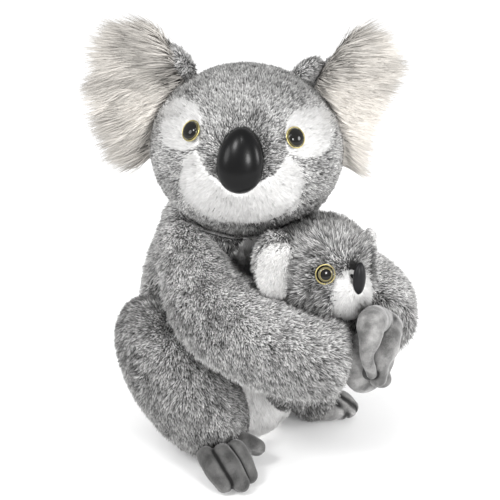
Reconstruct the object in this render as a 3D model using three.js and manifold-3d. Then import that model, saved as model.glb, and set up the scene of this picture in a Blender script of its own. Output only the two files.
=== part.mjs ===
// Plush koala sitting upright and hugging its baby: sewn fur shells with stuffing, inlaid
// pale panels, safety eyes and noses held by washers inside, suede hands and feet.
// Millimetres, +Z up. The mother sits on z = 0, centred on her flat base, and faces -Y;
// her head is turned to her right. +X is her left side.
import * as THREE from "three";
import { mergeVertices } from "three/addons/utils/BufferGeometryUtils.js";
import Module from "manifold-3d";

const wasm = await Module();
wasm.setup();

// Finishes
const FUR_GREY = finish(0x8f8f90, 0.95);
const BABY_FUR = finish(0x7d7d80, 0.95);
const FUR_WHITE = finish(0xf1f0ec, 0.95);
const EAR_CREAM = finish(0xd8d0c6, 0.95);
const SUEDE = finish(0x86857f, 0.9);
const BLACK_GLOSS = finish(0x0b0b0c, 0.18);
const EYE_GOLD = finish(0xb98a2e, 0.3);
const WASHER_WHITE = finish(0xdad9d2, 0.5);
const PELLET_CLOTH = finish(0xc9c4b8, 0.9);
const PAD_DARK = finish(0x4a4a4c, 0.95);

// Fits
const seam = 0.3; // between two sewn pieces
const ease = 0.6; // between a piece and the path of one that turns
const chinGap = 3.2; // round her head, to her arms and the baby's head
const overrun = 6; // how far a cutter runs past what it cuts
const panelDepth = 2.5; // an inlaid fur panel, pile left out

// Mother's seated figure, over her hips, her back and the top of her torso
const figureWidth = 123;
const figureDepth = 114;
const figureHeight = 171;
const basePanelSize = 61.5;
const basePanelDepth = 2.3;
const tummyWidth = 76;
const pelletBagSize = 45.5;
const pelletBagHeight = 27.5;

// Mother's head
const headWidth = 129;
const headDepth = 115;
const headHeight = 115;
const headTurnDeg = -49; // face direction from -Y about +Z
const headNodDeg = 13; // chin lifted
const headRollDeg = 2.4;
const muzzleWidth = 77.5;
const muzzleHeight = 49;
const muzzleSwell = 6.8;
const eyePatchWidth = 27;
const eyePatchHeight = 30;

// Safety eyes and noses
const eyeSize = 15;
const eyeRingWire = 1.3;
const postSize = 3.6;
const postLength = 17;
const washerSize = 17;
const washerDepth = 1.8;
const washerSeat = 9.1; // fur face to washer
const noseWidth = 29.5;
const noseHeight = 42;
const noseDepth = 19.5;

// Mother's ears
const earWidth = 78;
const earHeight = 112;
const earDepth = 29.5;
const earLeanDeg = 14; // ear tops turned outwards
const earFoldDeg = 14;

// Mother's limbs
const armSize = 60.5;
const shoulderSize = 57;
const wristSize = 50;
const farWristSize = 43.5;
const cuffRoundShare = 0.4; // how far the cuff bulges over its radius
const handLength = 41;
const handWidth = 49;
const handDepth = 18;
const leftPalmShare = 0.5; // of the right palm
const fingerSize = 15;
const leftFingerSizeShares = [1.15, 1.3, 0.95, 0.57, 0.45]; // of fingerSize, from root to tip
const closurePadSize = 13.5;
const closurePadDepth = 1.4;
const thighWidth = 86.5;
const thighDepth = 91;
const thighHeight = 109.5;
const shinSize = 54.5;
const farShinSize = 38.5;
const footWidth = 36;
const footDepth = 24;
const toeSize = 13.5;

// Baby
const babyBodyWidth = 52.5;
const babyBodyDepth = 36.5;
const babyBodyHeight = 75;
const babyHeadWidth = 77.5;
const babyHeadDepth = 70.5;
const babyHeadHeight = 73;
const babyTurnDeg = -4;
const babyRollDeg = 8;
const babyNodDeg = 6;
const babyEyeSize = 13.5;
const babyNoseWidth = 9.5;
const babyNoseHeight = 21.5;
const babyNoseDepth = 7;
const babyMuzzleWidth = 37;
const babyMuzzleHeight = 32;
const babyMuzzleSwell = 4.6;
const babyEarWidth = 33;
const babyEarHeight = 45.5;
const babyEarDepth = 15;
const babyEarSplayDeg = 24; // ear fronts turned outwards
const babyArmSize = 17;
const babyLegSize = 23;
const babyFootSize = 17;
const babyPostSize = 3;
const babyPostLength = 12.5;
const babyWasherSize = 11.4;
const babyWasherSeat = 6.8;

// Reach of the joints, in degrees
const headTurnReachDeg = 12;
const rightArmReachDeg = 12;
const leftArmReachDeg = 24;
const armAxisLeanDeg = 20; // forward lean of the arms' upright axis
const handPartShares = [0, 0.05, 0.1, 0.2, 0.35]; // of the arms' reach, where the hands are still close
const legReachDeg = 8;
const babyHeadReachDeg = 10;

// Places on the mother as shares of figureWidth, figureDepth and figureHeight
const headCentreShares = [-0.055, -0.345, 1.26];
const spineShares = [[0, -0.06, 0.14], [0, -0.065, 0.4], [0, -0.095, 0.62], [0, -0.18, 0.86]];
const torsoSizeShares = [0.9, 0.9, 0.76, 0.62]; // of the figure's width, and of its depth
const torsoBaseRoundShare = 0.5; // how far the base bulges over its radius
const torsoBaseBoxShare = 0.6; // below 1 the base has a squarer edge
const rightArmShares = [
  [-0.355, -0.17, 0.86], [-0.47, -0.48, 0.62], [-0.42, -0.76, 0.565], [-0.27, -1.0, 0.565],
  [-0.15, -1.07, 0.56],
];
const leftArmShares = [
  [0.33, -0.15, 0.84], [0.465, -0.47, 0.66], [0.485, -0.82, 0.59], [0.36, -1.04, 0.575],
];
const rightPalmShares = [0.09, -1.19, 0.515];
const rightFingerShares = [[0.25, -1.19, 0.565], [0.28, -1.18, 0.485], [0.25, -1.19, 0.405]];
const leftPalmShares = [0.321, -1.105, 0.588];
const leftFingerShares = [
  [
    [0.302, -1.123, 0.605], [0.011, -1.276, 0.704], [-0.039, -1.316, 0.653], [-0.079, -1.333, 0.604],
    [-0.016, -1.316, 0.505],
  ],
  [
    [0.327, -1.123, 0.591], [0.203, -1.219, 0.618], [0.128, -1.281, 0.577], [0.054, -1.307, 0.541],
    [0.042, -1.307, 0.468],
  ],
];
const closureShares = [-0.21, -0.04]; // of the hand, sideways and up from the right palm's middle
const padSunkShare = 0.4; // of the pad's depth, into the hand
const rightThighShares = [-0.445, -0.19, 0.325];
const rightKneeShares = [-0.42, -0.411, 0.193];
const leftThighShares = [0.43, -0.17, 0.315];
const leftKneeShares = [0.376, -0.454, 0.123];
// Each toe from its root to its tip
const rightToeShares = [
  [[-0.596, -0.59, 0.129], [-0.578, -0.704, 0.047]],
  [[-0.532, -0.654, 0.14], [-0.509, -0.761, 0.047]],
  [[-0.435, -0.664, 0.135], [-0.406, -0.717, 0.047]],
  [[-0.35, -0.571, 0.129], [-0.255, -0.621, 0.094]],
];
const rightFootShares = [-0.415, -0.553, 0.088];
const leftFootShares = [0.45, -0.491, 0.076];
const leftToeShares = [
  [[0.518, -0.56, 0.117], [0.577, -0.589, 0.053]],
  [[0.461, -0.574, 0.111], [0.541, -0.604, 0.047]],
  [[0.417, -0.575, 0.099], [0.491, -0.589, 0.047]],
];
const babyBodyShares = [0.04, -0.66, 0.42];
// From the baby's body to its head, of babyBodyWidth, babyBodyDepth and the two half heights
const babyNeckShares = [0.012, -0.531, 0.947];
const tummyShares = [0, 0.48]; // across and up
const tummyHeightShare = 0.88;
const tummySquareShare = 0.7;
// The baby's limbs, for its left side
const babyArmShares = [[0.13, -0.66, 0.58], [0.2, -0.74, 0.53], [0.15, -0.82, 0.48]];
const babyLegShares = [[0.12, -0.64, 0.33], [0.18, -0.74, 0.36]];
const babyFootShares = [[0.19, -0.79, 0.37], [0.19, -0.82, 0.43]];

// Shares of the face, of headWidth and headHeight or of the baby's
const eyeShares = [0.26, 0.127];
const bridgeShares = [0.74, 1.1, 0.56]; // of the muzzle panel: width, height and rise
const noseTaperShare = 0.16;
const noseSinkShare = 0.2; // of noseDepth, into the muzzle
const babyMoundShares = [0.56, 0.4, 0.5];
const eyePatchShares = [0.31, 0.142];
const noseShares = [0, -0.01];
const muzzleShares = [0, -0.15];
const muzzleMoundShares = [0.62, 0.36, 0.46]; // of the head's three sizes
const panelSquareShare = 0.8; // 1 makes the face panels elliptic, less makes them squarer
const eyeDomeShare = 0.75; // of the eye's radius, the rise of its dome
const babyEyeShares = [0.275, 0.065];
const babyNoseShares = [0, 0.02];
const babyMuzzleShares = [0, -0.15];
const rightEarShares = [0.555, 0.05, 0.29];
const leftEarShares = [0.51, 0.05, 0.255];
const earRootShare = 0.4; // of headWidth, from the middle to the fold line
const earTiltShare = 0.16; // sideways run of the fold line for each unit of height
const babyEarShares = [0.53, 0.02, 0.07];
const earBackShares = [0.62, 0.9, 0.66]; // of the ear's three sizes
const earBackSetShare = 0.3; // of earDepth, how far behind

const X = new THREE.Vector3(1, 0, 0);
const Y = new THREE.Vector3(0, 1, 0);
const Z = new THREE.Vector3(0, 0, 1);
const ORIGIN = new THREE.Vector3();

function finish(color, roughness) {
  return new THREE.MeshStandardMaterial({ color, roughness, metalness: 0 });
}

function bodyPoint([x, y, z]) {
  return new THREE.Vector3(x * figureWidth, y * figureDepth, z * figureHeight);
}

// A closed geometry as a solid that can be cut and joined.
function solidOf(geometry) {
  geometry.deleteAttribute("normal");
  geometry.deleteAttribute("uv");
  const merged = mergeVertices(geometry);
  return new wasm.Manifold(new wasm.Mesh({
    numProp: 3,
    vertProperties: new Float32Array(merged.attributes.position.array),
    triVerts: new Uint32Array(merged.index.array),
  }));
}

// A named mesh from a solid that is given in its parent's frame.
function addMesh(parent, name, solid, material) {
  const { vertProperties, triVerts } = solid.getMesh();
  const geometry = new THREE.BufferGeometry();
  geometry.setAttribute("position", new THREE.BufferAttribute(new Float32Array(vertProperties), 3));
  geometry.setIndex(new THREE.BufferAttribute(new Uint32Array(triVerts), 1));
  geometry.computeVertexNormals();
  const mesh = new THREE.Mesh(geometry, material);
  mesh.name = name;
  parent.add(mesh);
  return mesh;
}

function placed(solid, matrix) {
  return solid.transform(matrix.elements);
}

function moved(solid, x, y, z) {
  return placed(solid, new THREE.Matrix4().makeTranslation(x, y, z));
}

function turnMatrix(pivot, axis, angleDeg) {
  const turn = new THREE.Matrix4().makeRotationAxis(axis, THREE.MathUtils.degToRad(angleDeg));
  return new THREE.Matrix4().makeTranslation(pivot.x, pivot.y, pivot.z).multiply(turn)
    .multiply(new THREE.Matrix4().makeTranslation(-pivot.x, -pivot.y, -pivot.z));
}

function joined(solids) {
  return solids.reduce((whole, next) => whole.add(next));
}

// The largest body that a cut leaves.
function mainBody(solid) {
  return solid.decompose().reduce((best, body) => (body.volume() > best.volume() ? body : best));
}

// The obstacle as the piece sees it from each of its turns, joined into one cutter.
function passing(obstacle, pivot, axis, turnsDeg) {
  return joined(turnsDeg.map((turn) => placed(obstacle, turnMatrix(pivot, axis, -turn))));
}

// An ellipsoid, with swell giving a factor for each unit direction.
function blob(width, depth, height, { swell = () => 1, sides = 14, rings = 9 } = {}) {
  const geometry = new THREE.SphereGeometry(1, sides, rings);
  const half = new THREE.Vector3(width, depth, height).multiplyScalar(0.5);
  const place = geometry.attributes.position;
  const point = new THREE.Vector3();
  for (let i = 0; i < place.count; i += 1) {
    point.fromBufferAttribute(place, i);
    point.multiplyScalar(swell(point)).multiply(half);
    place.setXYZ(i, point.x, point.y, point.z);
  }
  return solidOf(geometry);
}

// A stuffed sleeve along a smooth route, with round ends centred on its first and last points.
// sizes are diameters at even stations; flat is the second cross size over the first, and
// startRound and endRound are how far an end bulges over its radius; startBox squares its edge.
function sleeve(route, sizes, { flat = 1, sides = 16, steps = 12, capSteps = 4, up = Z, startRound = 1,
  startBox = 1, endRound = 1 } = {}) {
  const curve = new THREE.CatmullRomCurve3(route, false, "centripetal");
  const sizeCurve = new THREE.SplineCurve(sizes.map((size, i) => new THREE.Vector2(i, size)));
  const stations = [];
  const addStation = (t, along, share) => {
    const tangent = curve.getTangent(t).normalize();
    const radius = sizeCurve.getPoint(t).y / 2;
    const centre = curve.getPoint(t).addScaledVector(tangent, along * radius);
    stations.push({ centre, tangent, radius: radius * share });
  };
  for (let i = 0; i <= capSteps; i += 1) {
    const angle = (i / capSteps) * Math.PI / 2;
    addStation(0, -Math.cos(angle) * startRound, Math.sin(angle) ** startBox);
  }
  for (let i = 1; i < steps; i += 1) addStation(i / steps, 0, 1);
  for (let i = capSteps; i >= 0; i -= 1) {
    const angle = (i / capSteps) * Math.PI / 2;
    addStation(1, Math.cos(angle) * endRound, Math.sin(angle));
  }
  const places = [];
  const faces = [];
  const last = stations.length - 1;
  stations.forEach(({ centre, tangent, radius }, row) => {
    if (row === 0 || row === last) {
      places.push(...centre.toArray());
      return;
    }
    const side = new THREE.Vector3().crossVectors(tangent, up).normalize();
    const other = new THREE.Vector3().crossVectors(tangent, side);
    for (let i = 0; i < sides; i += 1) {
      const angle = (i / sides) * Math.PI * 2;
      places.push(...centre.clone().addScaledVector(side, Math.cos(angle) * radius)
        .addScaledVector(other, Math.sin(angle) * radius * flat).toArray());
    }
  });
  const vertex = (row, i) => 1 + (row - 1) * sides + (i % sides);
  const end = 1 + (last - 1) * sides;
  for (let i = 0; i < sides; i += 1) {
    faces.push(0, vertex(1, i + 1), vertex(1, i));
    faces.push(vertex(last - 1, i), vertex(last - 1, i + 1), end);
    for (let row = 1; row < last - 1; row += 1) {
      faces.push(vertex(row, i), vertex(row, i + 1), vertex(row + 1, i + 1));
      faces.push(vertex(row, i), vertex(row + 1, i + 1), vertex(row + 1, i));
    }
  }
  const geometry = new THREE.BufferGeometry();
  geometry.setAttribute("position", new THREE.Float32BufferAttribute(places, 3));
  geometry.setIndex(faces);
  return solidOf(geometry);
}

// A round bar from z = low to z = high.
function bar(size, low, high, sides = 12) {
  const geometry = new THREE.CylinderGeometry(size / 2, size / 2, high - low, sides);
  geometry.rotateX(Math.PI / 2);
  geometry.translate(0, 0, (high + low) / 2);
  return solidOf(geometry);
}

// An outline in the face plane, x sideways and y up, run forwards to -Y from y = 0.
function facePrism(outline, reach) {
  const geometry = new THREE.ExtrudeGeometry(outline, { depth: reach, bevelEnabled: false });
  geometry.rotateX(Math.PI / 2);
  return solidOf(geometry);
}

// A closed outline between an ellipse (squareness 1) and a box (0), so lower values are squarer.
function oval(width, height, x, y, squareness = 1, points = 12) {
  const bend = (value) => Math.sign(value) * Math.abs(value) ** squareness;
  const outline = new THREE.Shape();
  outline.setFromPoints(Array.from({ length: points }, (_, i) => {
    const angle = (i / points) * Math.PI * 2;
    return new THREE.Vector2(
      x + (bend(Math.cos(angle)) * width) / 2, y + (bend(Math.sin(angle)) * height) / 2,
    );
  }));
  return outline;
}

// The panel of a form inside a prism, and the form without it. formAt(grow) gives the form
// with its skin moved out by grow.
function inlay(formAt, prism, widerPrism) {
  const panel = formAt(0).intersect(prism).subtract(formAt(-panelDepth));
  const recess = widerPrism.subtract(formAt(-panelDepth - seam));
  return { panel, recess };
}

// A safety eye about the local Z axis, its dome up and its post down. grow gives its cutter.
function eyeSolid(size, stem, length, grow) {
  const radius = size / 2 - eyeRingWire - seam + grow;
  const dome = blob(2 * radius, 2 * radius, 2 * eyeDomeShare * radius, { sides: 10, rings: 5 });
  return dome.add(bar(stem + 2 * grow, -length - grow, 0, 8));
}

function eyeRingSolid(size, grow) {
  const wire = eyeRingWire / 2;
  const ring = new THREE.TorusGeometry(size / 2 - wire, wire + grow, 4, 12);
  return solidOf(ring);
}

function washerSolid(size, stem, seat, grow) {
  const washer = bar(size + 2 * grow, -seat - washerDepth - grow, -seat + grow, 10);
  return grow > 0 ? washer : washer.subtract(bar(stem + 2 * seam, -seat - overrun, -seat + overrun, 8));
}

// A matrix at place whose local Z points along direction.
function aim(place, direction) {
  const turn = new THREE.Quaternion().setFromUnitVectors(Z, direction.clone().normalize());
  return new THREE.Matrix4().compose(place, turn, new THREE.Vector3(1, 1, 1));
}

// The head of mother or baby in its own frame: x to its left, y backwards, z up.
function headSolids(spec) {
  const { width, depth, height } = spec;
  const mound = spec.mound.map((share, i) => share * [width, depth, height][i]);
  const moundPlace = [0, (mound[1] - depth) / 2 - spec.muzzleSwell, spec.muzzle[1] * height];
  const grown = (sizes, grow, grain) => blob(...sizes.map((size) => size + 2 * grow), grain);
  const formAt = (grow) => grown([width, depth, height], grow, spec.grain)
    .add(moved(grown(mound, grow, { sides: 12, rings: 8 }), ...moundPlace));
  const skin = ([x, z]) => new THREE.Vector3(x * width, -depth * Math.sqrt(0.25 - x * x - z * z), z * height);
  let head = formAt(0);
  const solids = {};

  // Pale panels let into the face
  const muzzleAt = (grow) => facePrism(oval(
    spec.muzzleWidth + 2 * grow, spec.muzzleHeight + 2 * grow,
    0, spec.muzzle[1] * height, panelSquareShare,
  ), depth);
  const bridgeAt = (grow) => facePrism(oval(
    spec.muzzleWidth * spec.bridge[0] + 2 * grow, spec.muzzleHeight * spec.bridge[1] + 2 * grow,
    0, spec.muzzle[1] * height + spec.muzzleHeight * spec.bridge[2],
  ), depth);
  const hornsAt = (grow) => (spec.bridge ? muzzleAt(grow).subtract(bridgeAt(-grow)) : muzzleAt(grow));
  const muzzle = inlay(formAt, hornsAt(0), hornsAt(seam));
  solids.muzzle = muzzle.panel;
  head = head.subtract(muzzle.recess);
  if (spec.eyePatch) {
    [1, -1].forEach((side) => {
      const [x, z] = [side * spec.eyePatch[0] * width, spec.eyePatch[1] * height];
      const patchAt = (grow) => facePrism(
        oval(eyePatchWidth + 2 * grow, eyePatchHeight + 2 * grow, x, z, panelSquareShare), depth,
      );
      const patch = inlay(formAt, patchAt(0), patchAt(seam));
      solids[`patch${side}`] = patch.panel;
      head = head.subtract(patch.recess);
    });
  }

  // Safety eyes, each a dome with its ring and post and a washer inside
  [1, -1].forEach((side) => {
    const place = skin([side * spec.eye[0], spec.eye[1]]);
    const outward = new THREE.Vector3(
      place.x / width ** 2, place.y / depth ** 2, place.z / height ** 2,
    ).normalize();
    const matrix = aim(place, outward.sub(Y));
    const eyeParts = {
      eye: (grow) => eyeSolid(spec.eyeSize, spec.post, spec.postLength, grow),
      ring: (grow) => eyeRingSolid(spec.eyeSize, grow),
      washer: (grow) => washerSolid(spec.washer, spec.post, spec.washerSeat, grow),
    };
    const seat = moved(bar(spec.eyeSize + 2 * seam, 0, overrun), 0, 0, -eyeRingWire);
    const cutter = placed(joined([...Object.values(eyeParts).map((part) => part(seam)), seat]), matrix);
    Object.entries(eyeParts).forEach(([part, build]) => {
      solids[`${part}${side}`] = placed(build(0), matrix);
    });
    [`patch${side}`, "muzzle"].filter((name) => solids[name]).forEach((name) => {
      solids[name] = solids[name].subtract(cutter);
    });
    head = head.subtract(cutter);
  });

  // The one-piece nose on its post
  const noseFront = moundPlace[1] - mound[1] / 2;
  const nosePlace = new THREE.Vector3(0, noseFront + spec.noseDepth * spec.noseSink, spec.nose[1] * height);
  const noseSizes = [spec.noseWidth, spec.noseDepth, spec.noseHeight];
  const noseGrain = { swell: (way) => 1 - spec.noseTaper * way.z, sides: 12, rings: 8 };
  const nosePost = (grow) => bar(spec.post + 2 * grow, -spec.postLength - grow, 0, 8);
  const noseAt = (grow) => grown(noseSizes, grow, noseGrain)
    .add(placed(nosePost(grow), aim(ORIGIN, Y.clone().negate())));
  const noseMatrix = new THREE.Matrix4().setPosition(nosePlace);
  const noseWasherSeat = spec.noseDepth / 2 + spec.washerSeat / 2;
  const washerMatrix = aim(nosePlace, Y.clone().negate());
  solids.nose = placed(noseAt(0), noseMatrix);
  solids.noseWasher = placed(washerSolid(spec.washer, spec.post, noseWasherSeat, 0), washerMatrix);
  const noseCutter = placed(noseAt(seam), noseMatrix)
    .add(placed(washerSolid(spec.washer, spec.post, noseWasherSeat, seam), washerMatrix));
  head = head.subtract(noseCutter);
  solids.muzzle = solids.muzzle.subtract(noseCutter);
  solids.head = head;
  solids.formAt = formAt;
  return solids;
}

// An ear in the head's frame: a short-pile back set into the long-pile front, its root cut to
// the head in each of its folds.
function earSolids(spec, head, side, foldsDeg) {
  const x = side * spec.place[0] * head.width;
  const y = spec.place[1] * head.depth;
  const z = spec.place[2] * head.height;
  const backSizes = (grow) => earBackShares.map((share, i) => share * spec.sizes[i] + 2 * grow);
  const turn = [0, spec.leanDeg, spec.splayDeg].map((angle) => THREE.MathUtils.degToRad(side * angle));
  const splay = new THREE.Matrix4().makeRotationFromEuler(new THREE.Euler(...turn, "ZXY"));
  splay.setPosition(x, y, z);
  const backSet = earBackSetShare * spec.sizes[1];
  const backAt = (grow) => placed(moved(blob(...backSizes(grow)), 0, backSet, 0), splay);
  const pivot = new THREE.Vector3(side * earRootShare * head.width, y, z);
  const axis = new THREE.Vector3(-side * earTiltShare, 0, 1).normalize();
  const clear = passing(head.formAt(ease), pivot, axis, foldsDeg);
  return {
    lining: placed(blob(...spec.sizes), splay).subtract(backAt(seam)).subtract(clear),
    back: backAt(0).subtract(clear),
    pivot,
    axis,
  };
}

// A hand or foot: a palm with fingers or toes run out of it.
function pawSolid(palmSizes, palmPlace, digitRoutes, digitSizes, grow = 0) {
  const sizes = palmSizes.map((size) => size + 2 * grow);
  const palm = moved(blob(...sizes, { sides: 12, rings: 6 }), ...palmPlace.toArray());
  const digits = digitRoutes.map((route) => sleeve(route, digitSizes.map((size) => size + 2 * grow), {
    sides: 7, steps: 2 * (route.length - 1), capSteps: 2,
  }));
  return joined([palm, ...digits]);
}

function aboveFloor(solid) {
  const side = 4 * figureHeight;
  const ground = new THREE.BoxGeometry(side, side, side);
  ground.translate(0, 0, -side / 2);
  return solid.subtract(solidOf(ground));
}

const koala = new THREE.Group();
koala.name = "plush_koala";

// Heads
const headFrame = new THREE.Group();
headFrame.position.copy(bodyPoint(headCentreShares));
headFrame.rotation.set(...[-headNodDeg, headRollDeg, headTurnDeg].map(THREE.MathUtils.degToRad), "ZXY");
headFrame.updateMatrix();
koala.add(headFrame);
const head = headSolids({
  width: headWidth, depth: headDepth, height: headHeight, grain: { sides: 20, rings: 12 },
  mound: muzzleMoundShares, muzzle: muzzleShares, muzzleWidth, muzzleHeight, muzzleSwell,
  bridge: bridgeShares, eyePatch: eyePatchShares, eye: eyeShares, eyeSize, post: postSize, postLength,
  washer: washerSize, washerSeat, nose: noseShares, noseWidth, noseHeight,
  noseDepth, noseTaper: noseTaperShare, noseSink: noseSinkShare,
});
const headNear = placed(head.formAt(chinGap), headFrame.matrix);
const headTurns = [-headTurnReachDeg, 0, headTurnReachDeg];
const headPath = passing(placed(head.formAt(ease), headFrame.matrix), headFrame.position, Z, headTurns);
addMesh(headFrame, "head", head.head, FUR_GREY);
addMesh(headFrame, "muzzle_panel", head.muzzle, FUR_WHITE);
addMesh(headFrame, "nose", head.nose, BLACK_GLOSS);
addMesh(headFrame, "nose_washer", head.noseWasher, WASHER_WHITE);
const sides = { left: 1, right: -1 };
Object.entries(sides).forEach(([name, side]) => {
  addMesh(headFrame, `eye_panel_${name}`, head[`patch${side}`], FUR_WHITE);
  addMesh(headFrame, `eye_${name}`, head[`eye${side}`], BLACK_GLOSS);
  addMesh(headFrame, `eye_ring_${name}`, head[`ring${side}`], EYE_GOLD);
  addMesh(headFrame, `eye_washer_${name}`, head[`washer${side}`], WASHER_WHITE);
  const ear = earSolids({
    place: side > 0 ? leftEarShares : rightEarShares, sizes: [earWidth, earDepth, earHeight],
    leanDeg: earLeanDeg, splayDeg: 0,
  }, {
    width: headWidth, depth: headDepth, height: headHeight, formAt: head.formAt,
  }, side, [-earFoldDeg, 0, earFoldDeg]);
  addMesh(headFrame, `ear_fur_${name}`, ear.lining, EAR_CREAM);
  addMesh(headFrame, `ear_back_${name}`, ear.back, FUR_GREY);
});

// Torso with its tummy panel, base panel and pellet bag
const torsoAt = (grow) => sleeve(
  spineShares.map(bodyPoint), torsoSizeShares.map((share) => share * figureWidth + 2 * grow),
  { flat: figureDepth / figureWidth, sides: 16, steps: 6, up: Y,
    startRound: torsoBaseRoundShare, startBox: torsoBaseBoxShare },
);
const tummyAt = (grow) => facePrism(oval(
  tummyWidth + 2 * grow, tummyHeightShare * figureHeight + 2 * grow,
  tummyShares[0] * figureWidth, tummyShares[1] * figureHeight, tummySquareShare,
), figureDepth);
const tummy = inlay(torsoAt, tummyAt(0), tummyAt(seam));
const bagLow = basePanelDepth + 2 * seam;
const baseRecess = bar(basePanelSize + 2 * seam, -overrun, basePanelDepth + seam, 20)
  .add(bar(pelletBagSize + 2 * ease, 0, bagLow + pelletBagHeight + ease, 16));
const torsoCut = baseRecess.add(headPath);
const pelletBag = blob(pelletBagSize, pelletBagSize, pelletBagHeight, { sides: 12, rings: 6 });
addMesh(koala, "torso", aboveFloor(torsoAt(0)).subtract(tummy.recess.add(torsoCut)), FUR_GREY);
addMesh(koala, "tummy_panel", aboveFloor(tummy.panel).subtract(torsoCut), FUR_WHITE);
addMesh(koala, "base_panel", bar(basePanelSize, 0, basePanelDepth, 20), FUR_GREY);
addMesh(koala, "pellet_bag", moved(pelletBag, 0, 0, bagLow + pelletBagHeight / 2), PELLET_CLOTH);

// Arms, each turning about the middle of its shoulder
const armBuilds = {
  right: { route: rightArmShares.map(bodyPoint), wrist: wristSize, reach: -rightArmReachDeg },
  left: { route: leftArmShares.map(bodyPoint), wrist: farWristSize, reach: leftArmReachDeg },
};
const armAt = ({ route, wrist }, grow) => sleeve(
  route, [shoulderSize, ...route.slice(2).map(() => armSize), wrist].map((size) => size + 2 * grow),
  { sides: 14, steps: 9, capSteps: 3, endRound: cuffRoundShare },
);
const armAxis = Z.clone().applyAxisAngle(X, THREE.MathUtils.degToRad(armAxisLeanDeg));
const armStops = [0, 1, 2, 3];
const armPath = (arm) => passing(
  armAt(arm, ease), arm.route[0], armAxis, armStops.map((stop) => (-arm.reach * stop) / (armStops.length - 1)),
);
Object.entries(armBuilds).forEach(([name, arm]) => {
  const turns = [0, arm.reach / 2, arm.reach];
  const bodyPath = passing(torsoAt(ease), arm.route[0], armAxis, turns);
  const headClear = passing(headNear, arm.route[0], armAxis, [0, arm.reach]);
  addMesh(koala, `arm_${name}`, armAt(arm, 0).subtract(bodyPath).subtract(headClear), FUR_GREY);
});

// Hands, the left one laid over the right and held by a hook and a loop pad
const palmDrop = 1 - Math.sqrt(1 - 4 * (closureShares[0] ** 2 + closureShares[1] ** 2));
const closurePlace = bodyPoint(rightPalmShares).add(new THREE.Vector3(
  closureShares[0] * handLength,
  -handDepth / 2 * (1 - palmDrop) - seam / 2 - closurePadDepth * (1 - padSunkShare),
  closureShares[1] * handWidth,
));
const closurePad = (way, grow) => {
  const pad = bar(closurePadSize + 2 * grow, seam / 2 - grow, seam / 2 + closurePadDepth + grow, 16);
  return placed(pad, aim(closurePlace, Y.clone().multiplyScalar(way)));
};
const rightHandAt = (grow) => pawSolid([handLength, handDepth, handWidth], bodyPoint(rightPalmShares),
  rightFingerShares.map((tip) => [bodyPoint(rightPalmShares), bodyPoint(tip)]), [fingerSize, fingerSize], grow);
const leftHand = pawSolid([handLength, handDepth, handWidth].map((size) => size * leftPalmShare),
  bodyPoint(leftPalmShares), leftFingerShares.map((route) => route.map(bodyPoint)),
  leftFingerSizeShares.map((share) => share * fingerSize));
const rightHandCut = armAt(armBuilds.right, seam).add(closurePad(1, seam));
// The right hand as the left one sees it while the hug opens
const rightHandPath = joined(handPartShares.map((share) => placed(rightHandAt(ease), turnMatrix(
  armBuilds.left.route[0], armAxis, -share * armBuilds.left.reach,
).multiply(turnMatrix(armBuilds.right.route[0], armAxis, share * armBuilds.right.reach)))));
const leftHandCut = joined([armAt(armBuilds.left, seam), rightHandPath, closurePad(-1, seam)]);
addMesh(koala, "hand_right", rightHandAt(0).subtract(rightHandCut), SUEDE);
addMesh(koala, "loop_pad", closurePad(1, 0), PAD_DARK);
addMesh(koala, "hand_left", leftHand.subtract(leftHandCut), SUEDE);
addMesh(koala, "hook_pad", closurePad(-1, 0), PAD_DARK);

// Legs, each turning a little about its hip, and feet
const legBuilds = {
  right: {
    thigh: rightThighShares, knee: rightKneeShares, shin: shinSize, foot: rightFootShares, toes: rightToeShares,
  },
  left: {
    thigh: leftThighShares, knee: leftKneeShares, shin: farShinSize, foot: leftFootShares, toes: leftToeShares,
  },
};
const shinGrain = { sides: 14, steps: 2, capSteps: 3 };
const legAt = ({ thigh, knee, shin }, grow) => moved(
  blob(thighWidth + 2 * grow, thighDepth + 2 * grow, thighHeight + 2 * grow), ...bodyPoint(thigh).toArray(),
).add(sleeve([bodyPoint(thigh), bodyPoint(knee)], [shin + 2 * grow, shin + 2 * grow], shinGrain));
Object.entries(legBuilds).forEach(([name, leg]) => {
  const hip = bodyPoint(leg.thigh);
  const turns = [0, sides[name] * legReachDeg];
  const clear = passing(torsoAt(ease).add(armPath(armBuilds[name])), hip, Z, turns);
  const foot = pawSolid([footWidth, footWidth, footDepth], bodyPoint(leg.foot),
    leg.toes.map((route) => route.map(bodyPoint)), [toeSize, toeSize]);
  addMesh(koala, `leg_${name}`, aboveFloor(legAt(leg, 0).subtract(clear)), FUR_GREY);
  addMesh(koala, `foot_${name}`, aboveFloor(foot.subtract(legAt(leg, seam))), SUEDE);
});

// Baby
const babyHeadFrame = new THREE.Group();
babyHeadFrame.position.copy(bodyPoint(babyBodyShares)).add(new THREE.Vector3(
  babyNeckShares[0] * babyBodyWidth, babyNeckShares[1] * babyBodyDepth,
  (babyNeckShares[2] * (babyBodyHeight + babyHeadHeight)) / 2,
));
babyHeadFrame.rotation.set(...[-babyNodDeg, babyRollDeg, babyTurnDeg].map(THREE.MathUtils.degToRad), "ZXY");
babyHeadFrame.updateMatrix();
koala.add(babyHeadFrame);
const babyHead = headSolids({
  width: babyHeadWidth, depth: babyHeadDepth, height: babyHeadHeight, grain: { sides: 15, rings: 8 },
  mound: babyMoundShares, muzzle: babyMuzzleShares, muzzleWidth: babyMuzzleWidth,
  muzzleHeight: babyMuzzleHeight, muzzleSwell: babyMuzzleSwell,
  eye: babyEyeShares, eyeSize: babyEyeSize, post: babyPostSize, postLength: babyPostLength,
  washer: babyWasherSize, washerSeat: babyWasherSeat, nose: babyNoseShares,
  noseWidth: babyNoseWidth, noseHeight: babyNoseHeight, noseDepth: babyNoseDepth, noseTaper: 0,
  noseSink: noseSinkShare,
});
const babyTurns = [-babyHeadReachDeg, 0, babyHeadReachDeg];
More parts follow.
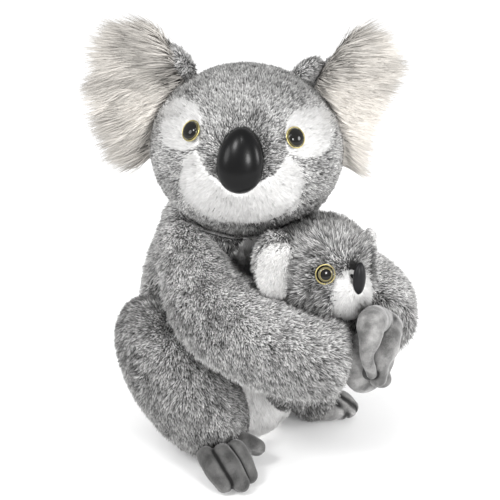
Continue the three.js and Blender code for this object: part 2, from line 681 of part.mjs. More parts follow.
const babyHeadClear = placed(headNear.add(passing(
  armAt(armBuilds.left, ease).add(armAt(armBuilds.right, ease)), babyHeadFrame.position, Z, babyTurns,
)), babyHeadFrame.matrix.clone().invert());
addMesh(babyHeadFrame, "baby_head", mainBody(babyHead.head.subtract(babyHeadClear)), BABY_FUR);
addMesh(babyHeadFrame, "baby_muzzle_panel", babyHead.muzzle.subtract(babyHeadClear), FUR_WHITE);
addMesh(babyHeadFrame, "baby_nose", babyHead.nose, BLACK_GLOSS);
addMesh(babyHeadFrame, "baby_nose_washer", babyHead.noseWasher, WASHER_WHITE);
Object.entries(sides).forEach(([name, side]) => {
  addMesh(babyHeadFrame, `baby_eye_${name}`, babyHead[`eye${side}`], BLACK_GLOSS);
  addMesh(babyHeadFrame, `baby_eye_ring_${name}`, babyHead[`ring${side}`], EYE_GOLD);
  addMesh(babyHeadFrame, `baby_eye_washer_${name}`, babyHead[`washer${side}`], WASHER_WHITE);
  const ear = earSolids({
    place: babyEarShares, sizes: [babyEarWidth, babyEarDepth, babyEarHeight],
    leanDeg: 0, splayDeg: babyEarSplayDeg,
  }, {
    width: babyHeadWidth, depth: babyHeadDepth, height: babyHeadHeight, formAt: babyHead.formAt,
  }, side, [0]);
  addMesh(babyHeadFrame, `baby_ear_fur_${name}`, ear.lining.subtract(babyHeadClear), FUR_WHITE);
  addMesh(babyHeadFrame, `baby_ear_back_${name}`, ear.back.subtract(babyHeadClear), BABY_FUR);
});
const babyHeadPath = passing(
  placed(babyHead.formAt(ease), babyHeadFrame.matrix), babyHeadFrame.position, Z, babyTurns,
);
const babyBodySizes = [babyBodyWidth, babyBodyDepth, babyBodyHeight];
const babyBody = (grow) => moved(
  blob(...babyBodySizes.map((size) => size + 2 * grow), { sides: 14, rings: 10 }),
  ...bodyPoint(babyBodyShares).toArray(),
);
const motherClear = joined([torsoAt(seam), armAt(armBuilds.left, seam), armAt(armBuilds.right, seam)]);
addMesh(koala, "baby_body", babyBody(0).subtract(motherClear).subtract(babyHeadPath), BABY_FUR);
Object.entries(sides).forEach(([name, side]) => {
  const routeOf = (shares) => shares.map(([x, y, z]) => bodyPoint([babyBodyShares[0] + side * x, y, z]));
  const limb = (shares, size, grow) => sleeve(routeOf(shares), [size + 2 * grow, size + 2 * grow], {
    sides: 10, steps: 2 * (shares.length - 1), capSteps: 2,
  });
  const clear = joined([motherClear, babyHeadPath, babyBody(seam)]);
  const arm = limb(babyArmShares, babyArmSize, seam);
  const leg = limb(babyLegShares, babyLegSize, seam);
  addMesh(koala, `baby_arm_${name}`, limb(babyArmShares, babyArmSize, 0).subtract(clear), BABY_FUR);
  addMesh(koala, `baby_leg_${name}`, limb(babyLegShares, babyLegSize, 0).subtract(clear.add(arm)), BABY_FUR);
  const foot = limb(babyFootShares, babyFootSize, 0).subtract(joined([clear, arm, leg]));
  addMesh(koala, `baby_foot_${name}`, foot, SUEDE);
});

export default koala;
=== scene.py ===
"""The looks of a plush koala that hugs its baby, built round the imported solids.

Everything is in metres in the solids' own frame: the mother sits on z = 0, faces -Y, and +X is her left.
Fur is real geometry. Each form is a smooth skin of fine triangles, and every furred triangle is drawn up
into a tuft that leans along the way the pile is combed.
"""
import logging
from dataclasses import dataclass, field
from enum import Enum
from typing import Callable, Sequence

import bpy
import numpy as np
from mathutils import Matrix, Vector


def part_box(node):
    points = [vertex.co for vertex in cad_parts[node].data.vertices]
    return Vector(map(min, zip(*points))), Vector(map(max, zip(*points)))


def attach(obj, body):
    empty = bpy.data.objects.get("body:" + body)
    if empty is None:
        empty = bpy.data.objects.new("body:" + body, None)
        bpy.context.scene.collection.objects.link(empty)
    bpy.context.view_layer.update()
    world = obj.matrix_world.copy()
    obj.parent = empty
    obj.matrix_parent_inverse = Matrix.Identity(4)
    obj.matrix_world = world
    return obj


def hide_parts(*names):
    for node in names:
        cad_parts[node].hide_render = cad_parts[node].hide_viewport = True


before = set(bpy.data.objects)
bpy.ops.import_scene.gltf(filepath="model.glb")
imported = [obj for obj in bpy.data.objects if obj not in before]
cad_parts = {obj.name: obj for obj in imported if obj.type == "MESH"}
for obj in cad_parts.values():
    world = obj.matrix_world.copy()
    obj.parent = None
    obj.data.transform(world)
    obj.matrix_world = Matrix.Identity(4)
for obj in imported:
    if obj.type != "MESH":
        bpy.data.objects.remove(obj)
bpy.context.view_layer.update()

Array = np.ndarray
LOG = logging.getLogger("koala")
MM = 0.001
UP = np.array([0.0, 0.0, 1.0])
FLOOR_GAP = 0.0004


def unit(vectors: Array) -> Array:
    """Vectors divided by their own length."""
    return vectors / np.maximum(np.linalg.norm(vectors, axis=-1, keepdims=True), 1e-12)


def turn_about(axis: int, degrees: float) -> Array:
    """The 3 x 3 matrix of a right-handed turn about X, Y or Z (axis 0, 1 or 2)."""
    angle = np.radians(degrees)
    one, two = (axis + 1) % 3, (axis + 2) % 3
    matrix = np.eye(3)
    matrix[one, one] = matrix[two, two] = np.cos(angle)
    matrix[one, two], matrix[two, one] = -np.sin(angle), np.sin(angle)
    return matrix


class Noise:
    """Smooth random values in space: a random lattice, blended between its eight nearest corners."""

    def __init__(self, seed: int, cell: float, side: int = 24) -> None:
        """Fills the lattice.

        Args:
            seed: Starts the random draws.
            cell: Distance between lattice points, in metres.
            side: Lattice points along each axis before the pattern repeats.
        """
        self.values = np.random.default_rng(seed).uniform(-1, 1, (side, side, side))
        self.cell, self.side = cell, side

    def at(self, points: Array) -> Array:
        """Values from -1 to 1 at an (n, 3) array of points."""
        scaled = points / self.cell + 1000.0
        low = np.floor(scaled).astype(int)
        part = scaled - low
        part = part * part * (3 - 2 * part)
        total = np.zeros(len(points))
        for corner in np.ndindex(2, 2, 2):
            index = (low + corner) % self.side
            weight = np.prod(np.where(corner, part, 1 - part), axis=1)
            total += weight * self.values[index[:, 0], index[:, 1], index[:, 2]]
        return total


def vector_noise(seed: int, cell: float, points: Array) -> Array:
    """Three noise values for each point, as an (n, 3) array."""
    return np.stack([Noise(seed + axis, cell).at(points) for axis in range(3)], axis=1)


@dataclass(frozen=True)
class Skin:
    """A closed surface of small triangles.

    points is (n, 3), triangles is (m, 3) of point numbers, and normals is (n, 3).
    """

    points: Array
    triangles: Array
    normals: Array

    @classmethod
    def of(cls, points: Array, triangles: Array) -> "Skin":
        """A skin whose normals are the area-weighted means of the triangles round each point."""
        corner = points[triangles]
        flat = np.cross(corner[:, 1] - corner[:, 0], corner[:, 2] - corner[:, 0])
        normals = np.zeros_like(points)
        for axis in range(3):
            for place in range(3):
                normals[:, axis] += np.bincount(triangles[:, place], flat[:, axis], len(points))
        return cls(points, triangles, unit(normals))

    def relaxed(self, rounds: int, strength: float = 0.5) -> "Skin":
        """Each point moved towards the mean of its neighbours, some rounds over."""
        edges = np.concatenate([self.triangles[:, pair] for pair in ([0, 1], [1, 2], [2, 0])])
        edges = np.concatenate([edges, edges[:, ::-1]])
        count = np.bincount(edges[:, 0], minlength=len(self.points))[:, None]
        points = self.points
        for _ in range(rounds):
            sums = [np.bincount(edges[:, 0], points[edges[:, 1], axis], len(points)) for axis in range(3)]
            points = points + strength * (np.stack(sums, axis=1) / count - points)
        return Skin.of(points, self.triangles)

    def moved_out(self, distance: float | Array) -> "Skin":
        """Each point moved along its normal, by one distance or by one for each point."""
        return Skin.of(self.points + self.normals * np.reshape(distance, (-1, 1)), self.triangles)

    def shaken(self, seed: int, edge: float) -> "Skin":
        """Each point moved along the surface at random, so that no rows of triangles show.

        Args:
            seed: Starts the random draws.
            edge: The skin's edge length, of which a quarter is the most that a point moves along an axis.
        """
        reach = 0.25 * edge
        shift = np.random.default_rng(seed).uniform(-reach, reach, self.points.shape)
        shift -= self.normals * np.sum(shift * self.normals, axis=1, keepdims=True)
        return Skin.of(self.points + shift, self.triangles)

    @property
    def centres(self) -> Array:
        """The middle of each triangle."""
        return self.points[self.triangles].mean(axis=1)

    @property
    def facing(self) -> Array:
        """The smooth normal at the middle of each triangle."""
        return unit(self.normals[self.triangles].sum(axis=1))


@dataclass(frozen=True)
class Blob:
    """An ellipsoid at centre with three half sizes along the columns of turn.

    box below 1 makes it squarer, and taper makes it narrower towards its top.
    """

    centre: Array
    half: Array
    turn: Array = field(default_factory=lambda: np.eye(3))
    box: float = 1.0
    taper: float = 0.0

    def grid(self, around: int = 64, up: int = 40) -> tuple[Array, Array]:
        """Points and quads of the surface.

        The two parameters are the angle round the local Z axis and the angle from the top. Sine and cosine
        are raised to the power box with their signs kept, and the width falls with height by taper.
        """
        across, down = np.meshgrid(
            np.arange(around) * 2 * np.pi / around, np.linspace(0, np.pi, up + 1), indexing="xy")
        bend = lambda value: np.sign(value) * np.abs(value) ** self.box
        ring = bend(np.sin(down)) * (1 - self.taper * np.cos(down))
        local = np.stack(
            [ring * bend(np.cos(across)), ring * bend(np.sin(across)), bend(np.cos(down))], axis=-1)
        points = self.centre + (local * self.half).reshape(-1, 3) @ self.turn.T
        return points, grid_quads(around, up)

    def gap(self, points: Array) -> Array:
        """About how far each point is outside the surface, and below zero inside."""
        local = (points - self.centre) @ self.turn / self.half
        reach = np.linalg.norm(local, axis=1)
        return (reach - 1) * self.half.min()

    def pushed(self, points: Array, clear: float) -> Array:
        """The points, with those nearer than clear moved straight out from the middle."""
        offset = points - self.centre
        reach = np.linalg.norm(offset @ self.turn / (self.half + clear), axis=1)
        return self.centre + offset * np.maximum(1, 1 / np.maximum(reach, 0.05))[:, None]


def grid_quads(around: int, along: int) -> Array:
    """Quads of a grid that closes round one way, with its faces outwards for rows that run down."""
    row, column = np.meshgrid(np.arange(along), np.arange(around), indexing="ij")
    here, beside = row * around + column, row * around + (column + 1) % around
    return np.stack([here, here + around, beside + around, beside], axis=-1).reshape(-1, 4)


def smooth_route(knots: Array, count: int) -> Array:
    """Evenly numbered points on the centripetal Catmull-Rom curve through the knots.

    Each stretch between two knots is blended from the lines through its four nearest knots, in a
    parameter that grows by the square root of the distance, with the end knots mirrored outwards.
    """
    ends = [2 * knots[0] - knots[1], *knots, 2 * knots[-1] - knots[-2]]
    knots = np.asarray(ends)
    place = np.linspace(0, len(knots) - 3, count)
    first = np.minimum(place.astype(int), len(knots) - 4)
    p = [knots[first + k] for k in range(4)]
    t = [np.zeros((count, 1))]
    for k in range(3):
        t.append(t[-1] + np.linalg.norm(p[k + 1] - p[k], axis=1, keepdims=True) ** 0.5)
    at = t[1] + (place - first)[:, None] * (t[2] - t[1])
    mix = lambda a, b, ta, tb: ((tb - at) * a + (at - ta) * b) / (tb - ta)
    a = [mix(p[k], p[k + 1], t[k], t[k + 1]) for k in range(3)]
    b = [mix(a[k], a[k + 1], t[k], t[k + 2]) for k in range(2)]
    return mix(b[0], b[1], t[1], t[2])


@dataclass(frozen=True)
class Sleeve:
    """A stuffed tube along a route of knots, with round ends.

    sizes are diameters at even stations, flat is the second cross size over the first, and the rounds
    are how far each end bulges over its radius. start_box below 1 makes the first end squarer.
    """

    knots: Array
    sizes: Sequence[float]
    flat: float = 1.0
    side_hint: tuple[float, float, float] = (0.0, 0.0, 1.0)
    start_round: float = 1.0
    start_box: float = 1.0
    end_round: float = 1.0
    steps: int = 48

    def line(self) -> tuple[Array, Array, Array]:
        """Centre points, unit directions and radii along the route."""
        centre = smooth_route(np.asarray(self.knots), self.steps + 1)
        way = unit(np.gradient(centre, axis=0))
        stations = np.linspace(0, 1, len(self.sizes))
        share = np.linspace(0, 1, self.steps + 1)
        size = smooth_route(np.stack([stations * 10, self.sizes, 0 * stations], 1), 20 * len(self.sizes))
        return centre, way, np.interp(share * 10, size[:, 0], size[:, 1]) / 2

    def grid(self, around: int = 48, cap: int = 10) -> tuple[Array, Array]:
        """Points and quads of the surface.

        The parameters are the station along the route and the angle round it. At an end the rings shrink
        as the sine of an angle while they move out as its cosine, which closes it with a round cap.
        """
        centre, way, radius = self.line()
        angle = np.linspace(0, np.pi / 2, cap + 1)
        head = [(-np.cos(angle) * self.start_round, np.sin(angle) ** self.start_box, 0),
                (np.cos(angle[::-1]) * self.end_round, np.sin(angle[::-1]), -1)]
        rows = []
        for out, share, end in head:
            middle = centre[end] + out[:, None] * radius[end] * way[end]
            rows.append((middle, np.tile(way[end], (cap + 1, 1)), radius[end] * share))
        parts = [rows[0], (centre[1:-1], way[1:-1], radius[1:-1]), rows[1]]
        middle, way, radius = (np.concatenate([part[k] for part in parts]) for k in range(3))
        side = unit(np.cross(way, np.asarray(self.side_hint)))
        other = np.cross(way, side)
        turn = np.arange(around) * 2 * np.pi / around
        cosine, sine = np.cos(turn)[None, :, None], np.sin(turn)[None, :, None]
        ring = cosine * side[:, None] + self.flat * sine * other[:, None]
        points = middle[:, None] + ring * radius[:, None, None]
        return points.reshape(-1, 3), grid_quads(around, len(middle) - 1)[:, ::-1]

    def nearest(self, points: Array) -> tuple[Array, Array, Array, Array]:
        """For each point: its offset from the nearest station, the reach that way, and the station's
        direction and number."""
        centre, way, radius = self.line()
        best, pick = np.full(len(points), np.inf), np.zeros(len(points), int)
        for station in range(0, len(centre), 2):
            gap = np.linalg.norm(points - centre[station], axis=1) - radius[station]
            closer = gap < best
            best[closer], pick[closer] = gap[closer], station
        offset, way = points - centre[pick], way[pick]
        towards = unit(offset)
        other = np.cross(way, unit(np.cross(way, np.asarray(self.side_hint))))
        across = np.sum(towards * other, axis=1)
        return offset, radius[pick] / np.sqrt(1 + across ** 2 * (self.flat ** -2 - 1)), way, pick

    def gap(self, points: Array) -> Array:
        """About how far each point is outside the surface, and below zero inside."""
        offset, reach, _, _ = self.nearest(points)
        return np.linalg.norm(offset, axis=1) - reach

    def pushed(self, points: Array, clear: float) -> Array:
        """The points, with those nearer than clear moved straight out from the nearest station."""
        offset, reach, _, _ = self.nearest(points)
        distance = np.maximum(np.linalg.norm(offset, axis=1), 0.002)
        return points + offset * np.maximum(0, (reach + clear) / distance - 1)[:, None]

    def along(self, points: Array) -> Array:
        """The direction of the nearest station, for each point."""
        return self.nearest(points)[2]


Form = Blob | Sleeve


def mesh_object(name: str, points: Array, faces: Array) -> bpy.types.Object:
    """A new object in the scene from an (n, 3) array and an (m, 3) or (m, 4) array."""
    mesh = bpy.data.meshes.new(name)
    mesh.vertices.add(len(points))
    mesh.vertices.foreach_set("co", points.astype(np.float32).ravel())
    sides = faces.shape[1]
    mesh.loops.add(faces.size)
    mesh.loops.foreach_set("vertex_index", faces.astype(np.int32).ravel())
    mesh.polygons.add(len(faces))
    mesh.polygons.foreach_set("loop_start", np.arange(0, faces.size, sides, dtype=np.int32))
    mesh.update(calc_edges=True)
    made = bpy.data.objects.new(name, mesh)
    bpy.context.scene.collection.objects.link(made)
    return made


def remeshed(shapes: Sequence[Form], voxel: float) -> Skin:
    """The union of closed shapes as one even skin of triangles.

    Args:
        shapes: Overlapping closed surfaces.
        voxel: Length of the skin's edges, in metres.

    Returns:
        The skin, with each quad of the voxel remesh cut along one of its diagonals in turn.
    """
    points, faces, start = [], [], 0
    for shape in shapes:
        p, f = shape.grid()
        points.append(p)
        faces.append(f + start)
        start += len(p)
    rough = mesh_object("rough", np.concatenate(points), np.concatenate(faces))
    remesh = rough.modifiers.new("even", "REMESH")
    remesh.mode, remesh.voxel_size, remesh.adaptivity = "VOXEL", voxel, 0.0
    graph = bpy.context.evaluated_depsgraph_get()
    graph.update()
    mesh = bpy.data.meshes.new_from_object(rough.evaluated_get(graph))
    even = np.empty(len(mesh.vertices) * 3, np.float32)
    mesh.vertices.foreach_get("co", even)
    corners = np.empty(len(mesh.loops), np.int32)
    mesh.loops.foreach_get("vertex_index", corners)
    quads = corners.reshape(-1, 4).astype(np.int64)
    bpy.data.objects.remove(rough)
    bpy.data.meshes.remove(mesh)
    quads[::2] = np.roll(quads[::2], 1, axis=1)
    triangles = np.concatenate([quads[:, [0, 1, 2]], quads[:, [0, 2, 3]]])
    return Skin.of(even.reshape(-1, 3).astype(float), triangles)


@dataclass(frozen=True)
class Pile:
    """How fur cloth lies: lengths in metres, angles in degrees from upright.

    Tips are gathered by a share towards the middle of their clump, stray at random, and follow waves.
    vary is the share by which lengths differ, mottle does the same for tones, and bend curves the tufts of
    more than one segment. The way of combing is laid flat on the skin first, unless laid is False.
    """

    length: float = 0.0041
    lean: float = 48.0
    clump: float = 0.0019
    gather: float = 0.3
    stray: float = 0.22
    wave: float = 0.45
    vary: float = 0.4
    bend: float = 0.0
    segments: int = 1
    laid: bool = True
    mottle: float = 0.4


# Sizes of the patches over which the pile's way and lean wander, the tone of cloth without pile, and the
# width that a triangle takes on the OFBake map.
SWAY_CELL = 0.012
LEAN_CELL = 0.006
BARE_TONE = 0.2
MAP_STEP = 0.015
CELL_KEYS = np.array([73856093, 19349663, 83492791])


def gathered(tips: Array, roots: Array, size: float, share: float, seed: int) -> tuple[Array, Array]:
    """Tips drawn towards the mean tip of their clump, and the number of each tip's clump.

    Clumps are the cells of a lattice that noise has warped, so that their borders wander.
    """
    warp = vector_noise(seed, size * 1.7, roots) * size * 0.9
    cell = np.floor((roots + warp) / size).astype(np.int64)
    key = np.bitwise_xor.reduce(cell * CELL_KEYS, axis=1)
    _, group = np.unique(key, return_inverse=True)
    count = np.bincount(group)
    mean = np.stack([np.bincount(group, tips[:, a]) / count for a in range(3)], axis=1)
    return tips + share * (mean[group] - tips), group


def combed(skin_normals: Array, way: Array) -> Array:
    """Directions laid flat on the skin."""
    return unit(way - skin_normals * np.sum(way * skin_normals, axis=1, keepdims=True))


def fur(
    name: str, skin: Skin, pile: Pile, way: Callable[[Array], Array], tone: Callable[[Array], Array],
    bare: Array, seed: int, length: Callable[[Array], Array] | None = None,
) -> bpy.types.Object:
    """A furred skin as one closed mesh.

    Each triangle that isn't bare becomes a tuft: the root ring is the triangle, and segments rings that
    shrink to a point follow a line that starts upright and bends along the way the pile is combed.

    Args:
        name: The piece's name.
        skin: The surface that carries the pile.
        pile: How it lies.
        way: Gives the combed direction at points.
        tone: Gives each tuft's tone from 0, dark, to 1, light.
        bare: True for the triangles that carry no tuft.
        seed: Starts the random draws.
        length: A factor on the pile's length at points.

    Returns:
        The object, whose OFBake map holds the tone across and the place from root to tip upwards.
    """
    rng = np.random.default_rng(seed)
    keep = skin.triangles[bare]
    roots = skin.triangles[~bare]
    middle, normal = skin.centres[~bare], skin.facing[~bare]
    count = len(roots)
    lie = unit(way(middle)) + vector_noise(seed + 10, SWAY_CELL, middle) * pile.wave
    lie = combed(normal, lie) if pile.laid else unit(lie)
    lean = np.radians(pile.lean * (1 + 0.25 * Noise(seed + 20, LEAN_CELL).at(middle)))[:, None]
    reach = pile.length * (1 + pile.vary * rng.uniform(-1, 1, count))
    if length is not None:
        reach = reach * length(middle)
    reach = reach[:, None]
    aim = unit(normal * np.cos(lean) + lie * np.sin(lean) + rng.normal(0, pile.stray, (count, 3)))
    tip = middle + aim * reach
    tip, group = gathered(tip, middle, pile.clump, pile.gather, seed + 30)
    tip[:, 2] = np.maximum(tip[:, 2], FLOOR_GAP)
    tones = np.clip(tone(middle) + 0.1 * rng.uniform(-1, 1, group.max() + 1)[group]
                    + pile.mottle * rng.uniform(-1, 1, count), 0.03, 0.97)
    points, faces = [skin.points], []
    ring, start = roots, len(skin.points)
    corner = skin.points[roots]
    for step in range(1, pile.segments):
        t, low = step / pile.segments, (step - 1) / pile.segments
        line = middle + (tip - middle) * t - pile.bend * reach * (t - t * t) * (lie - normal)
        place = line[:, None] + (corner - middle[:, None]) * (1 - t) ** 0.7
        new = start + np.arange(count * 3).reshape(-1, 3)
        for a in range(3):
            b = (a + 1) % 3
            faces.append((np.stack([ring[:, a], ring[:, b], new[:, b]], 1), low, low, t))
            faces.append((np.stack([ring[:, a], new[:, b], new[:, a]], 1), low, t, t))
        points.append(place.reshape(-1, 3))
        ring, start = new, start + count * 3
    last, low = start + np.arange(count), 1 - 1 / pile.segments
    for a in range(3):
        faces.append((np.stack([ring[:, a], ring[:, (a + 1) % 3], last], 1), low, low, 1.0))
    points.append(tip)
    triangles = np.concatenate([face[0] for face in faces] + [keep])
    made = mesh_object(name, np.concatenate(points), triangles)
    across = np.concatenate(
        [np.stack([tones - MAP_STEP, tones + MAP_STEP, tones], 1) for _ in faces]
        + [np.full((len(keep), 3), BARE_TONE)])
    upward = np.concatenate(
        [np.tile(face[1:], (count, 1)) for face in faces] + [np.zeros((len(keep), 3))])
    across[len(faces) * count:, 1] += MAP_STEP
    upward[len(faces) * count:, 2] += MAP_STEP
    layer = made.data.uv_layers.new(name="OFBake")
    flat = np.stack([across.ravel(), 0.01 + 0.98 * upward.ravel()], axis=1).astype(np.float32)
    layer.data.foreach_set("uv", flat.ravel())
    made.data.shade_smooth()
    LOG.info("%s: %d triangles", name, len(triangles))
    return made


# Finishes


# The roughness of a clear coat.
GLOSS = 0.03


def node_link(tree: bpy.types.NodeTree, kind: str, **values: object) -> bpy.types.Node:
    """A new shader node with some of its properties set."""
    node = tree.nodes.new(kind)
    for name, value in values.items():
        setattr(node, name, value)
    return node


def grey(value: float, warm: float = 0.0) -> tuple[float, float, float, float]:
    """A linear grey, warmer for a warm above zero."""
    return (value * (1 + warm), value, value * (1 - 1.3 * warm), 1.0)


def ramp(tree: bpy.types.NodeTree, factor: bpy.types.NodeSocket,
         stops: Sequence[tuple[float, tuple[float, float, float, float]]]) -> bpy.types.NodeSocket:
    """A colour ramp's colour for a factor.

    Args:
        tree: The material's nodes.
        factor: The socket that picks the colour.
        stops: Places from 0 to 1 with their colours.

    Returns:
        The colour socket.
    """
    node = node_link(tree, "ShaderNodeValToRGB")
    elements = node.color_ramp.elements
    while len(elements) < len(stops):
        elements.new(0.5)
    for element, (place, colour) in zip(elements, stops):
        element.position, element.color = place, colour
    tree.links.new(factor, node.inputs["Fac"])
    return node.outputs["Color"]


def new_material(name: str) -> tuple[bpy.types.Material, bpy.types.NodeTree, bpy.types.Node]:
    """An empty node material, its tree and its Principled shader."""
    material = bpy.data.materials.new(name)
    material.use_nodes = True
    return material, material.node_tree, material.node_tree.nodes["Principled BSDF"]


def dial(node: bpy.types.Node, values: dict[str, object]) -> None:
    """Sets inputs of a node, by name."""
    for name, value in values.items():
        node.inputs[name].default_value = value


def noise_texture(tree: bpy.types.NodeTree, scale: float, detail: float) -> bpy.types.NodeSocket:
    """The factor of a noise over the object's own coordinates."""
    where = node_link(tree, "ShaderNodeTexCoord").outputs["Object"]
    node = node_link(tree, "ShaderNodeTexNoise")
    dial(node, {"Scale": scale, "Detail": detail})
    tree.links.new(where, node.inputs["Vector"])
    return node.outputs["Fac"]


def bumped(tree: bpy.types.NodeTree, shader: bpy.types.Node, height: bpy.types.NodeSocket, strength: float,
           depth: float) -> None:
    """Gives a shader fine relief after a height."""
    node = node_link(tree, "ShaderNodeBump")
    dial(node, {"Strength": strength, "Distance": depth})
    tree.links.new(height, node.inputs["Height"])
    tree.links.new(node.outputs["Normal"], shader.inputs["Normal"])


def even_greys(values: Sequence[float], warm: float) -> list[tuple[float, tuple[float, float, float, float]]]:
    """Greys at even places from 0 to 1, as a ramp's stops."""
    return [(place, grey(value, warm)) for place, value in zip(np.linspace(0, 1, len(values)), values)]


def map_parts(tree: bpy.types.NodeTree) -> tuple[bpy.types.NodeSocket, bpy.types.NodeSocket]:
    """The across and upward sockets of the OFBake map."""
    uv = node_link(tree, "ShaderNodeUVMap", uv_map="OFBake")
    split = node_link(tree, "ShaderNodeSeparateXYZ")
    tree.links.new(uv.outputs["UV"], split.inputs[0])
    return split.outputs["X"], split.outputs["Y"]


@dataclass(frozen=True)
class FurFinish:
    """Fur dyed from root to tip: the tone of a tuft picks its root and tip colours.

    rise gives the heights between which the root's colour turns into the tip's.
    """

    name: str
    roots: tuple[float, float]
    tips: tuple[float, float, float]
    warm: float = 0.0
    rise: tuple[float, float] = (0.25, 0.8)

    def make(self) -> bpy.types.Material:
        """The material."""
        material, tree, shader = new_material(self.name)
        tone, height = map_parts(tree)
        root = ramp(tree, tone, even_greys(self.roots, self.warm))
        tip = ramp(tree, tone, even_greys(self.tips, self.warm))
        share = ramp(tree, height, [(self.rise[0], grey(0.0)), (self.rise[1], grey(1.0))])
        mix = node_link(tree, "ShaderNodeMix", data_type="RGBA")
        tree.links.new(share, mix.inputs["Factor"])
        tree.links.new(root, mix.inputs["A"])
        tree.links.new(tip, mix.inputs["B"])
        tree.links.new(mix.outputs["Result"], shader.inputs["Base Color"])
        dial(shader, {"Roughness": 0.85, "Specular IOR Level": 0.15})
        return material


@dataclass(frozen=True)
class Suede:
    """Short-napped cloth: brushed patches over a fine nap, made lighter where its seams are worn and darker by
    painted shade in its creases, both from one point attribute.
    """

    name: str
    dark: float
    light: float
    warm: float = 0.012
    nap_share: float = 0.35

    def make(self) -> bpy.types.Material:
        """The material."""
        material, tree, shader = new_material(self.name)
        brushed, nap = noise_texture(tree, 90.0, 4.0), noise_texture(tree, 1800.0, 3.0)
        mixed = node_link(tree, "ShaderNodeMath", operation="MULTIPLY_ADD")
        mixed.inputs[1].default_value = self.nap_share
        tree.links.new(nap, mixed.inputs[0])
        tree.links.new(brushed, mixed.inputs[2])
        # The point attribute adds seam wear, which lightens, and painted crease shade, which darkens.
        seam_wear_and_crease_shade = node_link(tree, "ShaderNodeAttribute", attribute_name="seam_wear_and_crease_shade")
        worn_and_shaded = node_link(tree, "ShaderNodeMath", operation="ADD")
        tree.links.new(mixed.outputs[0], worn_and_shaded.inputs[0])
        tree.links.new(seam_wear_and_crease_shade.outputs["Fac"], worn_and_shaded.inputs[1])
        tones = ((0.2, 0.2 * self.dark), (0.55, self.dark), (0.8, self.light), (1.0, 1.7 * self.light))
        colour = ramp(tree, worn_and_shaded.outputs[0], [(at, grey(tone, self.warm)) for at, tone in tones])
        tree.links.new(colour, shader.inputs["Base Color"])
        bumped(tree, shader, nap, 0.5, 0.4 * MM)
        dial(shader, {
            "Roughness": 0.9, "Sheen Weight": 0.35, "Sheen Roughness": 0.4, "Specular IOR Level": 0.15})
        return material


@dataclass(frozen=True)
class Plastic:
    """Moulded plastic or wire in one colour, with faint waviness in its gloss."""

    name: str
    colour: tuple[float, float, float]
    roughness: float
    metallic: float = 0.0
    coat: float = 0.0
    specular: float = 0.5

    def make(self) -> bpy.types.Material:
        """The material."""
        material, tree, shader = new_material(self.name)
        waves = noise_texture(tree, 160.0, 2.0)
        colour = ramp(tree, waves, [
            (0.3, (*(0.85 * c for c in self.colour), 1.0)), (0.7, (*(1.15 * c for c in self.colour), 1.0))])
        tree.links.new(colour, shader.inputs["Base Color"])
        bumped(tree, shader, waves, 0.15, 0.3 * MM)
        dial(shader, {
            "Roughness": self.roughness, "Metallic": self.metallic, "Specular IOR Level": self.specular,
            "Coat Weight": self.coat, "Coat Roughness": GLOSS})
        return material


@dataclass(frozen=True)
class Iris:
    """A glossy eye whose colour changes from its middle outwards, after the attribute across."""

    name: str
    stops: tuple[tuple[float, tuple[float, float, float]], ...]

    def make(self) -> bpy.types.Material:
        """The material."""
        material, tree, shader = new_material(self.name)
        across = node_link(tree, "ShaderNodeAttribute", attribute_name="across")
        colour = ramp(tree, across.outputs["Fac"], [(place, (*shade, 1.0)) for place, shade in self.stops])
        tree.links.new(colour, shader.inputs["Base Color"])
        dial(shader, {
            "Roughness": 0.3, "Specular IOR Level": 0.0, "Coat Weight": 0.6, "Coat Roughness": GLOSS})
        return material


@dataclass(frozen=True)
class Woven:
    """Plain cloth: warp and weft threads of one size, with faint uneven dye."""

    name: str
    colour: float
    warm: float
    threads: float

    def make(self) -> bpy.types.Material:
        """The material."""
        material, tree, shader = new_material(self.name)
        where = node_link(tree, "ShaderNodeTexCoord").outputs["Object"]
        heights = []
        for axis in ("X", "Y"):
            thread = node_link(tree, "ShaderNodeTexWave", bands_direction=axis)
            thread.inputs["Scale"].default_value = self.threads
            tree.links.new(where, thread.inputs["Vector"])
            heights.append(thread.outputs["Fac"])
        weave = node_link(tree, "ShaderNodeMath", operation="MAXIMUM")
        for height, socket in zip(heights, weave.inputs):
            tree.links.new(height, socket)
        low, high = grey(0.7 * self.colour, self.warm), grey(self.colour, self.warm)
        tree.links.new(ramp(tree, weave.outputs[0], [(0.0, low), (1.0, high)]), shader.inputs["Base Color"])
        bumped(tree, shader, weave.outputs[0], 0.5, 0.3 * MM)
        shader.inputs["Roughness"].default_value = 0.9
        return material


BLACK = (0.003, 0.0027, 0.0022)
OLIVE = (0.105, 0.092, 0.045)
AMBER = (0.3, 0.25, 0.1)


